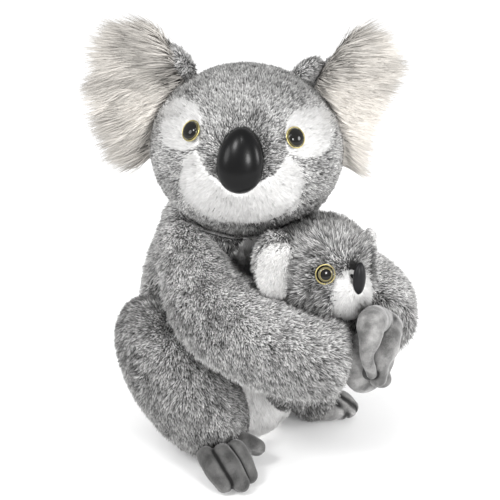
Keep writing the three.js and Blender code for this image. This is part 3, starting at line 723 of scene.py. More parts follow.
class Finish(Enum):
    """The finishes of the toy, by name."""

    GREY_FUR = FurFinish("grey_fur", (0.015, 0.07), (0.12, 0.5, 1.0), 0.008)
    BABY_FUR = FurFinish("baby_fur", (0.012, 0.05), (0.08, 0.36, 1.0), 0.008)
    WHITE_FUR = FurFinish("white_fur", (0.5, 0.8), (0.6, 0.8, 0.97), 0.008)
    EAR_FUR = FurFinish("ear_fur", (0.28, 0.66), (0.27, 0.62, 0.92), 0.05)
    SUEDE = Suede("suede", 0.1, 0.26)
    # The same suede as SUEDE, made darker for the near foot: painted shade.
    SHADED_FOOT_SUEDE = Suede("shaded_foot_suede", 0.045, 0.1)
    NOSE = Plastic("black_gloss", (0.002, 0.002, 0.0022), 0.26, specular=0.16, coat=0.03)
    EYE = Iris("eye_black", ((0.0, BLACK), (0.93, BLACK), (0.97, OLIVE), (1.0, OLIVE)))
    BABY_EYE = Iris("eye_olive", (
        (0.0, BLACK), (0.66, BLACK), (0.69, AMBER), (0.73, OLIVE), (0.87, OLIVE), (0.91, BLACK), (1.0, BLACK)))
    BABY_NOSE = Plastic("charcoal_satin", (0.008, 0.008, 0.009), 0.34, specular=0.15)
    BASE = Woven("base_cloth", 0.36, 0.0, 900.0)
    CALICO = Woven("calico", 0.6, 0.05, 700.0)
    TAPE = Woven("closure_tape", 0.06, 0.0, 1300.0)
    GOLD = Plastic("eye_gold", (0.42, 0.36, 0.16), 0.3, metallic=1.0)
    WASHER = Plastic("washer_plastic", (0.7, 0.7, 0.65), 0.5)


MATERIALS: dict[Finish, bpy.types.Material] = {}


def dress(piece: bpy.types.Object, finish: Finish) -> bpy.types.Object:
    """The piece with the finish's material, which is made once."""
    if finish not in MATERIALS:
        MATERIALS[finish] = finish.value.make()
    piece.data.materials.clear()
    piece.data.materials.append(MATERIALS[finish])
    return piece


# Shared makers


# How far a skin lies under the ends of its pile, the gaps that stay between pieces and over the floor, and
# the thickness of a sewn-in panel.
INSET = 2.2 * MM
BABY_INSET = 1.8 * MM
SEAM = 0.3 * MM
UNDER_CHIN = INSET + 3.2 * MM
PANEL_DEPTH = 1.2 * MM
OFF_FLOOR = 1.3 * MM
FACE_TO_FACE = 2 * INSET + SEAM
SIDES = {"left": 1, "right": -1}


@dataclass(frozen=True)
class Figure:
    """The mother's reference block. Places on her are shares of it, as in the part's source."""

    width: float = 0.123
    depth: float = 0.114
    height: float = 0.171

    def at(self, *shares: Sequence[float]) -> Array:
        """Points from rows of three shares."""
        return np.asarray(shares) * np.array([self.width, self.depth, self.height])


FIGURE = Figure()


def place(piece: bpy.types.Object, body: str, slot: str, *nodes: str, fill: float | None = None) -> None:
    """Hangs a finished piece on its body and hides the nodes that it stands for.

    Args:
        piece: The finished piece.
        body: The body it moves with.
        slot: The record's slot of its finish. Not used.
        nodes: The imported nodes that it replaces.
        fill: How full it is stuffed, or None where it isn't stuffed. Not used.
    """
    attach(piece, body)
    if nodes:
        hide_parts(*nodes)


def solid(name: str, points: Array, quads: Array, across: Array | None = None) -> bpy.types.Object:
    """A smooth closed mesh from a grid, with its seams and poles merged and its faces outwards.

    Args:
        name: The piece's name.
        points: The grid's points, as (n, 3).
        quads: The grid's faces, as (m, 4).
        across: A value from 0 to 1 for each point, kept as the attribute across.

    Returns:
        The object.
    """
    _, first, number = np.unique(np.round(points, 7), axis=0, return_index=True, return_inverse=True)
    quads = number.reshape(-1)[quads]
    triangles = np.concatenate([quads[:, [0, 1, 2]], quads[:, [0, 2, 3]]])
    a, b, c = triangles.T
    triangles = triangles[(a != b) & (b != c) & (c != a)]
    corner = points[first][triangles]
    if np.sum(corner[:, 0] * np.cross(corner[:, 1], corner[:, 2])) < 0:
        triangles = triangles[:, ::-1]
    made = mesh_object(name, points[first], triangles)
    if across is not None:
        layer = made.data.attributes.new("across", "FLOAT", "POINT")
        layer.data.foreach_set("value", across[first].astype(np.float32))
    made.data.shade_smooth()
    LOG.info("%s: %d triangles", name, len(triangles))
    return made


def revolved(profile: Array, middle: Array, axis: Array, around: int = 48) -> tuple[Array, Array]:
    """A profile of radii and heights carried round an axis through middle.

    The point at angle t is middle + radius (a cos t + b sin t) + height axis, where a and b are square to
    the axis.
    """
    axis = unit(np.asarray(axis, float))
    a = unit(np.cross(axis, UP if abs(axis[2]) < 0.9 else np.array([1.0, 0, 0])))
    b = np.cross(axis, a)
    turn = np.arange(around) * 2 * np.pi / around
    ring = np.cos(turn)[:, None] * a + np.sin(turn)[:, None] * b
    points = middle + profile[:, 0, None, None] * ring + profile[:, 1, None, None] * axis
    return points.reshape(-1, 3), grid_quads(around, len(profile) - 1)


def arc(middle: tuple[float, float], reach: tuple[float, float], start: float, end: float, count: int) -> Array:
    """Points on an ellipse's arc, from one angle in degrees to another."""
    angle = np.radians(np.linspace(start, end, count))
    return np.stack([middle[0] + reach[0] * np.cos(angle), middle[1] + reach[1] * np.sin(angle)], axis=1)


def speckle(seed: int, middle: float, fine: float = 0.3, broad: float = 0.15) -> Callable[[Array], Array]:
    """Tones that vary from tuft to tuft, and more softly over the whole piece."""
    return lambda p: middle + fine * Noise(seed, 0.003).at(p) + broad * Noise(seed + 1, 0.02).at(p)


def fold_shade(others: Sequence[Form], reach: float) -> Callable[[Array], Array]:
    """Painted shade: how much darker the pile is made near its neighbours, for the shade in the fold and the
    pile parted there.
    """
    return lambda p: 0.3 * np.exp(-(np.maximum(nearness(others, p), 0) / reach) ** 2)


def clear_of(skin: Skin, others: Sequence[Form], clear: float) -> Skin:
    """A skin pressed in where its neighbours lie against it."""
    points = skin.points
    for other in others:
        points = other.pushed(points, clear)
    return Skin.of(points, skin.triangles)


def nearness(others: Sequence[Form], points: Array) -> Array:
    """The least gap from each point to any of the others."""
    return np.min([other.gap(points) for other in others], axis=0)


def short_where_pressed(others: Sequence[Form], clear: float) -> Callable[[Array], Array]:
    """A factor on the pile: half where a neighbour presses on it, whole a little way off."""
    return lambda p: np.clip((nearness(others, p) - clear) / (4 * MM) + 0.5, 0.5, 1.0)


def panel_of(skin: Skin, chosen: Array, depth: float) -> tuple[Skin, Array]:
    """A part of a skin as a closed pad: its front, the same faces moved in and turned, and a rim.

    Args:
        skin: The whole skin.
        chosen: True for its triangles that make the front.
        depth: Thickness of the pad.

    Returns:
        The pad, and True for its triangles that aren't the front.
    """
    front = skin.triangles[chosen]
    used, renumbered = np.unique(front, return_inverse=True)
    front = renumbered.reshape(-1, 3)
    count = len(used)
    outer, inner = skin.points[used], skin.points[used] - depth * skin.normals[used]
    edges = np.concatenate([front[:, [0, 1]], front[:, [1, 2]], front[:, [2, 0]]])
    key, back = edges[:, 0] * count + edges[:, 1], edges[:, 1] * count + edges[:, 0]
    rim = edges[~np.isin(key, back)]
    walls = np.concatenate([
        np.stack([rim[:, 1], rim[:, 0], rim[:, 0] + count], axis=1),
        np.stack([rim[:, 1], rim[:, 0] + count, rim[:, 1] + count], axis=1)])
    pad = Skin.of(np.concatenate([outer, inner]), np.concatenate([front, front[:, ::-1] + count, walls]))
    normals = np.concatenate([skin.normals[used], -skin.normals[used]])
    bare = np.arange(len(pad.triangles)) >= len(front)
    return Skin(pad.points, pad.triangles, normals), bare


@dataclass(frozen=True)
class Oval:
    """A panel's outline in the face plane, x sideways and z up: squarer for a lower box."""

    x: float
    z: float
    width: float
    height: float
    box: float = 0.8

    def holds(self, x: Array, z: Array) -> Array:
        """True for points inside."""
        return self.reach(x, z) < 1

    def reach(self, x: Array, z: Array) -> Array:
        """How far out points lie: 0 in the middle and 1 on the outline."""
        power = 2 / self.box
        sideways, upwards = np.abs((x - self.x) * 2 / self.width), np.abs((z - self.z) * 2 / self.height)
        return (sideways ** power + upwards ** power) ** (1 / power)


# Eyes, noses and washers


@dataclass(frozen=True)
class SafetyEye:
    """A domed eye on its post, with a wire ring round it and a washer behind the cloth.

    seat is how deep the washer sits, and dome the eye's height as a share of its radius.
    """

    size: float
    post: float = 3.6 * MM
    length: float = 17 * MM
    washer: float = 17 * MM
    seat: float = 9.1 * MM
    wire: float = 0.9 * MM
    dome: float = 0.5
    finish: Finish = Finish.EYE

    def build(self, middle: Array, axis: Array, body: str, prefix: str, side: str) -> None:
        """The eye, its ring and its washer about an axis out of the face."""
        radius = self.size / 2 - self.wire - SEAM
        stem = self.post / 2
        profile = np.concatenate([
            arc((0, 0), (radius, self.dome * radius), 90, 0, 16),
            [(radius, -0.6 * MM), (0.9 * radius, -1.2 * MM)],
            ridged_post(stem, -1.2 * MM, -self.length)])
        points, quads = revolved(profile, middle, axis)
        reach = np.linalg.norm(np.cross(points - middle, unit(axis)), axis=1) / radius
        behind = (points - middle) @ unit(axis) < -0.3 * MM
        eye = solid(f"{prefix}eye_{side}_dome", points, quads, np.where(behind, 0.0, reach))
        place(dress(eye, self.finish), body, "black_gloss", f"{prefix}eye_{side}")
        wire = self.wire / 2
        ring = arc((self.size / 2 - wire, 0), (wire, wire), 0, 360, 17)
        piece = solid(f"{prefix}eye_{side}_ring", *revolved(ring, middle, axis, 64))
        place(dress(piece, Finish.GOLD), body, "eye_gold", f"{prefix}eye_ring_{side}")
        lock_washer(f"{prefix}eye_{side}_lock", self.washer, stem, self.seat, middle, axis, body,
                    f"{prefix}eye_washer_{side}")


def ridged_post(stem: float, top: float, end: float) -> Array:
    """The profile of a post with locking ridges every 2 mm, from its root to its pointed tip."""
    heights = np.arange(top, end + 2 * MM, -2 * MM)
    ridges = np.stack([np.stack([np.full_like(heights, stem), heights], 1),
                       np.stack([np.full_like(heights, 0.88 * stem), heights - 0.3 * MM], 1)], axis=1)
    return np.concatenate([ridges.reshape(-1, 2), [(0.6 * stem, end + 0.4 * MM), (0, end)]])


def lock_washer(name: str, size: float, stem: float, seat: float, middle: Array, axis: Array, body: str,
                node: str) -> None:
    """A nylon washer with a raised hub, pressed on a post behind the cloth."""
    hole, rim, thick = stem + SEAM, size / 2, 1.8 * MM
    profile = np.array([
        (hole, -seat), (hole + 1.2 * MM, -seat), (hole + 1.5 * MM, -seat - 0.5 * MM),
        (rim - 0.5 * MM, -seat - 0.5 * MM), (rim, -seat - MM), (rim - 0.4 * MM, -seat - thick),
        (hole, -seat - thick), (hole, -seat)])
    piece = solid(name, *revolved(profile, middle, axis, 40))
    place(dress(piece, Finish.WASHER), body, "washer_plastic", node)


@dataclass(frozen=True)
class SafetyNose:
    """A one-piece moulded nose, egg-shaped and narrower at the top, on its post."""

    width: float
    depth: float
    height: float
    taper: float
    post: float
    length: float
    washer: float
    seat: float
    finish: Finish

    def build(self, middle: Array, turn: Array, body: str, prefix: str) -> None:
        """The nose and its washer, with the post along the face's backward way."""
        half = np.array([self.width, self.depth, self.height]) / 2
        points, quads = Blob(middle, half, turn, 1.0, self.taper).grid(72, 48)
        back = turn @ np.array([0, 1.0, 0])
        root = 0.5 * half[1]
        ridges = ridged_post(self.post / 2, -0.5 * self.length, -self.length) * np.array([1, -1])
        post = np.concatenate([[(0, root), (self.post / 2, root)], ridges])
        stem, stem_quads = revolved(post, middle, back, 24)
        nose = solid(f"{prefix}nose_shell", points, quads)
        rod = solid(f"{prefix}nose_post", stem, stem_quads)
        place(dress(nose, self.finish), body, "black_gloss", f"{prefix}nose")
        place(dress(rod, self.finish), body, "black_gloss")
        lock_washer(f"{prefix}nose_lock", self.washer, self.post / 2, self.depth / 2 + self.seat / 2, middle,
                    -back, body, f"{prefix}nose_washer")


# Heads


@dataclass(frozen=True)
class HeadForm:
    """A head in its own frame, x to its left, y backwards and z up, with sizes in metres.

    mound is the muzzle's size as shares of the skull's, swell how far it stands out of the face, and muzzle_z
    its place over the skull's middle, in heights of the skull. Sizes are measured over the pile: inset is
    how far inside them the skins lie, and slim takes a little more off the skull alone.
    """

    centre: Array
    turn: Array
    size: Array
    mound: Array
    swell: float
    muzzle_z: float
    inset: float
    slim: float = 0.0

    def out(self, local: Array) -> Array:
        """Points of the head's frame in the toy's frame."""
        return self.centre + np.asarray(local) @ self.turn.T

    def local(self, points: Array) -> Array:
        """Points of the toy's frame in the head's."""
        return (points - self.centre) @ self.turn

    def shapes(self) -> list[Form]:
        """The skull and the muzzle's mound, both inside the pile."""
        mound = self.mound * self.size
        forward = (mound[1] - self.size[1]) / 2 - self.swell
        return [
            Blob(self.centre, self.size / 2 - self.inset - self.slim, self.turn),
            Blob(self.out([0, forward, self.muzzle_z * self.size[2]]), mound / 2 - self.inset, self.turn)]

    def front(self, x: float, z: float) -> Array:
        """The point of the skull's face at x and z."""
        half = self.size / 2
        return np.array([x, -half[1] * np.sqrt(max(0.0, 1 - (x / half[0]) ** 2 - (z / half[2]) ** 2)), z])

    def eye_axis(self, point: Array, ahead: float) -> Array:
        """Straight out of the skull at a point of its face.

        An ahead above 0 turns it towards straight ahead, and one below 0 away from that.
        """
        return self.turn @ (unit(point / self.size ** 2) - np.array([0, ahead, 0]))

    def nose_place(self, depth: float, z: float) -> Array:
        """The middle of a nose that is sunk by a fifth of its depth into the muzzle."""
        mound = self.mound[1] * self.size[1]
        forward = (mound - self.size[1]) / 2 - self.swell
        return np.array([0, forward - mound / 2 + 0.2 * depth, z])


MOTHER_TURN = turn_about(2, -49) @ turn_about(0, -13) @ turn_about(1, 2.4)
BABY_TURN = turn_about(2, -4) @ turn_about(0, -6) @ turn_about(1, 8)
BABY_MIDDLE = FIGURE.at([0.04, -0.66, 0.42])[0]
MOTHER_HEAD = HeadForm(
    FIGURE.at([-0.055, -0.345, 1.26])[0], MOTHER_TURN, np.array([0.129, 0.115, 0.115]),
    np.array([0.62, 0.36, 0.46]), 6.8 * MM, -0.15, INSET)
BABY_HEAD = HeadForm(
    BABY_MIDDLE + np.array([0.00063, -0.01938, 0.07008]), BABY_TURN, np.array([0.0775, 0.0705, 0.073]),
    np.array([0.56, 0.4, 0.5]), 4.6 * MM, -0.15, BABY_INSET, 1.4 * MM)


@dataclass(frozen=True)
class Head:
    """A furred head with its pale panels, eyes and nose.

    muzzle is the panel's width and height. bridge is the oval behind the nose that the panel leaves out: its
    width, height and rise over the panel's middle, as shares of the panel. patch is an eye panel's place in
    sizes of the head, with its width and height. socket darkens the pile round the eyes and lightens it on
    the crown, and sunk is how deep the left and the right eye sit.
    """

    form: HeadForm
    body: str
    prefix: str
    finish: Finish
    pile: Pile
    panel_pile: Pile
    voxel: float
    muzzle: tuple[float, float]
    bridge: tuple[float, float, float] | None
    patch: tuple[float, float, float, float] | None
    eye: SafetyEye
    eye_at: tuple[float, float]
    nose: SafetyNose
    nose_z: float
    tone: float
    socket: float = 0.05
    ahead: float = 0.0
    sunk: tuple[float, float] = (0.0, 0.0)
    neighbours: tuple[Form, ...] = ()
    fray: float = 1.1 * MM
    fray_cell: float = 1.8 * MM
    seed: int = 11

    def outside(self, local: Array) -> dict[str, Array]:
        """About how far points of the head's frame lie outside each panel. Noise frays the outlines."""
        x, y, z = (local + self.fray * vector_noise(3, self.fray_cell, local)).T
        size = self.form.size
        width, height = self.muzzle
        muzzle_z = self.form.muzzle_z * size[2]
        gap = (Oval(0, muzzle_z, width, height).reach(x, z) - 1) * height / 2
        if self.bridge:
            wide, tall, rise = self.bridge
            bridge = Oval(0, muzzle_z + rise * height, wide * width, tall * height, 1.0)
            gap = np.maximum(gap, (1 - bridge.reach(x, z)) * tall * height / 2)
        found = {f"{self.prefix}muzzle_panel": gap}
        if self.patch:
            patch_x, patch_z, width, height = self.patch
            for name, side in SIDES.items():
                patch = Oval(side * patch_x * size[0], patch_z * size[2], width, height, 0.65)
                found[f"{self.prefix}eye_panel_{name}"] = (patch.reach(x, z) - 1) * height / 2
        return {name: np.where(y < 0, gap, 1.0) for name, gap in found.items()}

    def panels(self, local: Array) -> dict[str, Array]:
        """True where each panel lies."""
        return {name: gap < 0 for name, gap in self.outside(local).items()}

    def nose_oval(self) -> Oval:
        """The nose's outline in the face plane."""
        return Oval(0, self.nose_z * self.form.size[2], self.nose.width, self.nose.height, 1.0)

    def trim(self, points: Array) -> Array:
        """A factor on the pile, which is clipped round the nose and the eyes."""
        return np.clip(0.5 + self.seats(self.form.local(points)) / (10 * MM), 0.5, 1)

    def seats(self, local: Array) -> Array:
        """How far points of the face are outside the nose and the eyes, below zero under them."""
        x, y, z = local.T
        size = self.form.size
        gap = (self.nose_oval().reach(x, z) - 1) * self.nose.width / 2
        for side in SIDES.values():
            middle = self.form.front(side * self.eye_at[0] * size[0], self.eye_at[1] * size[2])
            gap = np.minimum(gap, np.linalg.norm(local - middle, axis=1) - self.eye.size / 2)
        return np.where(y < 0, gap, 1.0)

    def comb(self, points: Array) -> Array:
        """Away from the nose over the whole head."""
        local = self.form.local(points)
        return (local - np.array([0, -0.54 * self.form.size[1], 0.0])) @ self.form.turn.T

    def shade(self, points: Array) -> Array:
        """Tones with darker pile round the nose and the eyes, and lighter pile on the crown and by panels."""
        local = self.form.local(points)
        size = self.form.size
        nose = self.nose_oval().reach(local[:, 0], local[:, 2])
        eye_x, eye_z = self.eye_at[0] * size[0], self.eye_at[1] * size[2]
        eye = np.hypot(np.abs(local[:, 0]) - eye_x, local[:, 2] - eye_z) / self.eye.size
        front = local[:, 1] < 0
        dark = 0.3 * np.exp(-((nose - 1) / 0.35) ** 2) + self.socket * np.exp(-(eye / 1.1) ** 2)
        edge = np.exp(-(np.min(list(self.outside(local).values()), axis=0) / (2 * MM)) ** 2)
        crown = (0.1 + self.socket) * local[:, 2] / size[2]
        return speckle(self.seed, self.tone)(points) - front * dark + crown + 0.14 * edge

    def build(self) -> None:
        """The head's skin, its panels, eyes and nose."""
        form, clear = self.form, self.form.inset + 2.5 * MM
        skin = remeshed(form.shapes(), self.voxel).relaxed(6).shaken(1, self.voxel)
        if self.neighbours:
            skin = clear_of(skin, self.neighbours, clear)
        skin = skin.moved_out(-1.6 * MM * (self.seats(form.local(skin.points)) < -1.2 * MM))
        middle = form.local(skin.centres)
        under = self.seats(middle) < -0.4 * MM
        panels = self.panels(middle)
        covered = np.any(list(panels.values()), axis=0)
        pressed = np.any(list(self.panels(form.local(skin.points)).values()), axis=0)
        head = skin.moved_out(-2 * MM * pressed)
        pressed_pile = short_where_pressed(self.neighbours, clear) if self.neighbours else (lambda p: 1.0)
        length = lambda p: pressed_pile(p) * self.trim(p)
        piece = fur(f"{self.prefix}head_fur", head, self.pile, self.comb, self.shade, covered | under,
                    self.seed, length)
        place(dress(piece, self.finish), self.body, self.finish.value.name, f"{self.prefix}head", fill=0.9)
        for number, (name, chosen) in enumerate(panels.items()):
            pad, bare = panel_of(skin, chosen, PANEL_DEPTH)
            bare |= self.seats(form.local(pad.centres)) < -0.4 * MM
            piece = fur(f"{name}_fur", pad, self.panel_pile, self.comb, speckle(5, 0.58, 0.12), bare,
                        self.seed + 1 + number)
            place(dress(piece, Finish.WHITE_FUR), self.body, "white_fur", name, fill=0.6)
        for (name, side), sunk in zip(SIDES.items(), self.sunk):
            point = form.front(side * self.eye_at[0] * form.size[0], self.eye_at[1] * form.size[2])
            axis = form.eye_axis(point, self.ahead)
            self.eye.build(form.out(point) - sunk * unit(axis), axis, self.body, self.prefix, name)
        nose = form.out(form.nose_place(self.nose.depth, self.nose_z * form.size[2]))
        self.nose.build(nose, form.turn, self.body, self.prefix)


@dataclass(frozen=True)
class Ear:
    """An ear: a short-pile back and a long-pile front that fans out from its root.

    at is the ear's middle in sizes of the head, and all its other places are in sizes of the ear, outwards
    and up from there. core is the size of the fringe's cushion and core_at its place. pale, gusset and back
    are ovals: the fringe's pale middle, the corner between the ear and the crown, and the back, each as its
    place and then its width and height, which are half sizes for the last two.
    """

    form: HeadForm
    at: tuple[float, float, float]
    size: tuple[float, float, float]
    lean: float
    splay: float
    side: str
    body: str
    prefix: str
    core: tuple[float, float, float]
    pile: Pile
    back_pile: Pile
    back_finish: Finish
    front_finish: Finish
    voxel: float
    pale: tuple[float, float, float, float]
    core_at: tuple[float, float]
    tone: float
    gusset: tuple[float, float, float, float]
    back: tuple[float, float, float, float] = (-0.1, -0.02, 0.3, 0.35)
    droop: float = 6 * MM
    root_span: tuple[float, float] = (-0.45, 0.08)
    clear: float = MM
    back_voxel: float = 1.2 * MM
    neighbours: tuple[Form, ...] = ()
    seed: int = 60

    @property
    def way(self) -> int:
        """1 for the left ear and -1 for the right."""
        return SIDES[self.side]

    @property
    def turn(self) -> Array:
        """The ear's frame in the toy's: x outwards or inwards, y backwards, z up."""
        return self.form.turn @ turn_about(2, self.way * self.splay) @ turn_about(1, self.way * self.lean)

    def out(self, local: Sequence[float]) -> Array:
        """A point given in sizes of the ear, outwards, backwards and up, in the toy's frame."""
        middle = self.form.out(np.array([self.way * self.at[0], self.at[1], self.at[2]]) * self.form.size)
        return middle + self.turn @ (np.array([self.way * local[0], local[1], local[2]]) * self.size)

    def local(self, points: Array) -> Array:
        """Points of the toy's frame in sizes of the ear, outwards, backwards and up."""
        return (points - self.out([0, 0, 0])) @ self.turn / np.array(self.size) * np.array([self.way, 1, 1])

    def fan(self, points: Array) -> Array:
        """Outwards from the root, a line down the head's side: fanned over the top and level below it."""
        x, y, z = self.local(points).T
        low, top = self.root_span
        root_z = np.clip(z, low, top) * 0.85
        root_x = -0.52 + 0.5 * (top - root_z)
        lie = np.stack([self.way * (x - root_x + 0.12), y - 0.1, z - root_z], axis=1) * self.size
        return lie @ self.turn.T - self.droop * UP

    def shade(self, points: Array) -> Array:
        """A pale middle, and taupe streaks that run out from the root, darkest beside it."""
        x, y, z = self.local(points).T
        pale_x, pale_z, width, height = self.pale
        middle = np.clip(1.7 - 1.4 * Oval(pale_x, pale_z, width, height, 1.0).reach(x, z), 0, 1)
        angle, reach = np.arctan2(z + 0.1, x + 0.5), np.hypot(z + 0.1, x + 0.5)
        streak = Noise(self.seed, 1.0).at(np.stack([angle * 9, reach * 2.5, y * 3], axis=1))
        root = np.exp(-(reach / 0.45) ** 2)
        return middle * (self.tone + 0.28) + (1 - middle) * (self.tone + 0.34 * streak - 0.3 * root)

    def reach(self, points: Array) -> Array:
        """Shorter pile in the pale middle, long towards the rim."""
        x, _, z = self.local(points).T
        pale_x, pale_z, width, height = self.pale
        middle = np.clip(1.5 - Oval(pale_x, pale_z, width, height, 1.0).reach(x, z), 0, 1)
        return 1 - 0.5 * middle

    def build(self) -> None:
        """The back and the fringed front."""
        size = np.array(self.size)
        others, clear = [*self.form.shapes(), *self.neighbours], self.clear
        x, z = self.core_at
        core = Blob(self.out([x, 0, z]), np.array(self.core) / 2 * size, self.turn, 0.9)
        x, z, wide, tall = self.back
        back = Blob(self.out([x, 0.26, z]), np.array([wide, 0.22, tall]) * size, self.turn)
        x, z, wide, tall = self.gusset
        gusset = Blob(self.out([x, 0.12, z]), np.array([wide, 0.24, tall]) * size,
                      self.turn @ turn_about(1, self.way * 34))
        skin = clear_of(remeshed([core], self.voxel).relaxed(3).shaken(3, self.voxel), others, clear)
        hidden = (nearness(others, skin.centres) < clear + 0.05 * MM) | (back.gap(skin.centres) < -2 * MM)
        piece = fur(f"{self.prefix}ear_{self.side}_fringe", skin, self.pile, self.fan, self.shade, hidden,
                    self.seed, self.reach)
        place(dress(piece, self.front_finish), self.body, self.front_finish.value.name,
              f"{self.prefix}ear_fur_{self.side}", fill=0.3)
        skin = remeshed([back, gusset], self.back_voxel).relaxed(4).shaken(4, self.back_voxel)
        skin = clear_of(skin, others, clear)
        hidden = (nearness(others, skin.centres) < clear + 0.05 * MM) | (core.gap(skin.centres) < -MM)
        piece = fur(f"{self.prefix}ear_{self.side}_back_fur", skin, self.back_pile, self.fan,
                    speckle(self.seed + 5, 0.6), hidden, self.seed + 6)
        place(dress(piece, self.back_finish), self.body, self.back_finish.value.name,
              f"{self.prefix}ear_back_{self.side}", fill=0.5)


# The mother's body


@dataclass(frozen=True)
class Torso:
    """The sitting trunk with its pale front, base panel and pellet bag.

    widths are shares of her width at the spine's stations. tummy is the pale front: its place as shares of
    the figure, its width, and its height as a share.
    """

    spine: tuple = ((0, -0.06, 0.14), (0, -0.05, 0.4), (0, -0.02, 0.62), (0, -0.1, 0.86))
    widths: tuple = (0.9, 0.92, 0.86, 0.74)
    base_size: float = 61.5 * MM
    base_depth: float = 2.3 * MM
    bag_size: float = 45.5 * MM
    bag_height: float = 27.5 * MM
    tummy: tuple = (0.0, 0.46, 76 * MM, 0.95)
    voxel: float = 1.5 * MM
    pile: Pile = Pile(length=5 * MM)

    def shape(self) -> Sleeve:
        """The trunk under its pile."""
        return Sleeve(FIGURE.at(*self.spine), np.array(self.widths) * FIGURE.width - 2 * INSET,
                      FIGURE.depth / FIGURE.width, (0, 1, 0), start_round=0.5, start_box=0.6)

    def tummy_holds(self, points: Array) -> Array:
        """True on the pale front."""
        x, z, width, height = self.tummy
        oval = Oval(x * FIGURE.width, z * FIGURE.height, width, height * FIGURE.height, 0.7)
        at = points + 0.9 * MM * vector_noise(4, 2.2 * MM, points)
        return oval.holds(at[:, 0], at[:, 2]) & (points[:, 1] < -0.01)

    def comb(self, points: Array) -> Array:
        """Down and a little outwards."""
        return np.stack([points[:, 0] * 2, points[:, 1] * 2, np.full(len(points), -0.1)], axis=1)

    def build(self, limbs: Sequence[Form]) -> None:
        """The trunk, its pale front, its base panel and the bag of pellets."""
        head = MOTHER_HEAD.shapes()
        skin = remeshed([self.shape()], self.voxel).relaxed(4).shaken(2, self.voxel)
        points = clear_of(skin, head, UNDER_CHIN).points
        out = np.linalg.norm(points[:, :2], axis=1)
        floor = np.where(out < self.base_size / 2 + MM, self.base_depth + 2 * SEAM, OFF_FLOOR)
        points[:, 2] = np.maximum(points[:, 2], floor)
        skin = Skin.of(points, skin.triangles)
        middle = skin.centres
        hidden = (nearness(limbs, middle) < -5 * MM) | (nearness(head, middle) < -MM)
        hidden |= (middle[:, 2] < 3.2 * MM) & (skin.facing[:, 2] < -0.8)
        pale = self.tummy_holds(middle)
        pressed = self.tummy_holds(skin.points)
        length = short_where_pressed(head, UNDER_CHIN)
        trunk = skin.moved_out(-2 * MM * pressed)
        piece = fur("torso_fur", trunk, self.pile, self.comb, speckle(20, 0.52), hidden | pale, 21, length)
        place(dress(piece, Finish.GREY_FUR), "torso", "grey_fur", "torso", fill=0.9)
        pad, bare = panel_of(skin, pale, PANEL_DEPTH)
        pile = Pile(length=4.6 * MM, lean=58, clump=2.4 * MM, gather=0.25, stray=0.1, wave=0.2, mottle=0.14)
        # The pale front is given a higher tone than the face panels' white fur: painted light, for light from
        # the floor under the arms.
        piece = fur("tummy_panel_fur", pad, pile, self.comb, speckle(5, 1.0, 0.1), bare, 22, length)
        place(dress(piece, Finish.WHITE_FUR), "torso", "white_fur", "tummy_panel", fill=0.6)
        self.build_base()

    def build_base(self) -> None:
        """A turned-under cloth disc, and a soft bag that sits on it inside the trunk."""
        radius, depth = self.base_size / 2, self.base_depth
        edge = arc((radius - depth / 2, depth / 2), (depth / 2, depth / 2), 90, -90, 12)
        stitch = np.array([
            (radius - 4 * MM, depth), (radius - 4.5 * MM, depth - 0.3 * MM), (radius - 5 * MM, depth)])
        profile = np.concatenate([[(0, depth)], stitch[::-1], edge, stitch * [1, 0], [(0, 0)]])
        piece = solid("base_panel_cloth", *revolved(profile, np.zeros(3), UP, 96))
        place(dress(piece, Finish.BASE), "torso", "base_cloth", "base_panel", fill=0.3)
        half = np.array([self.bag_size, self.bag_size, self.bag_height]) / 2
        middle = np.array([0, 0, depth + 2 * SEAM + half[2]])
        points, quads = Blob(middle, half - 0.6 * MM, box=0.9).grid(96, 48)
        points += unit(points - middle) * (0.6 * MM * Noise(31, 4 * MM).at(points))[:, None]
        piece = solid("pellet_bag_cloth", points, quads)
        place(dress(piece, Finish.CALICO), "torso", "pellet_cloth", "pellet_bag", fill=0.7)


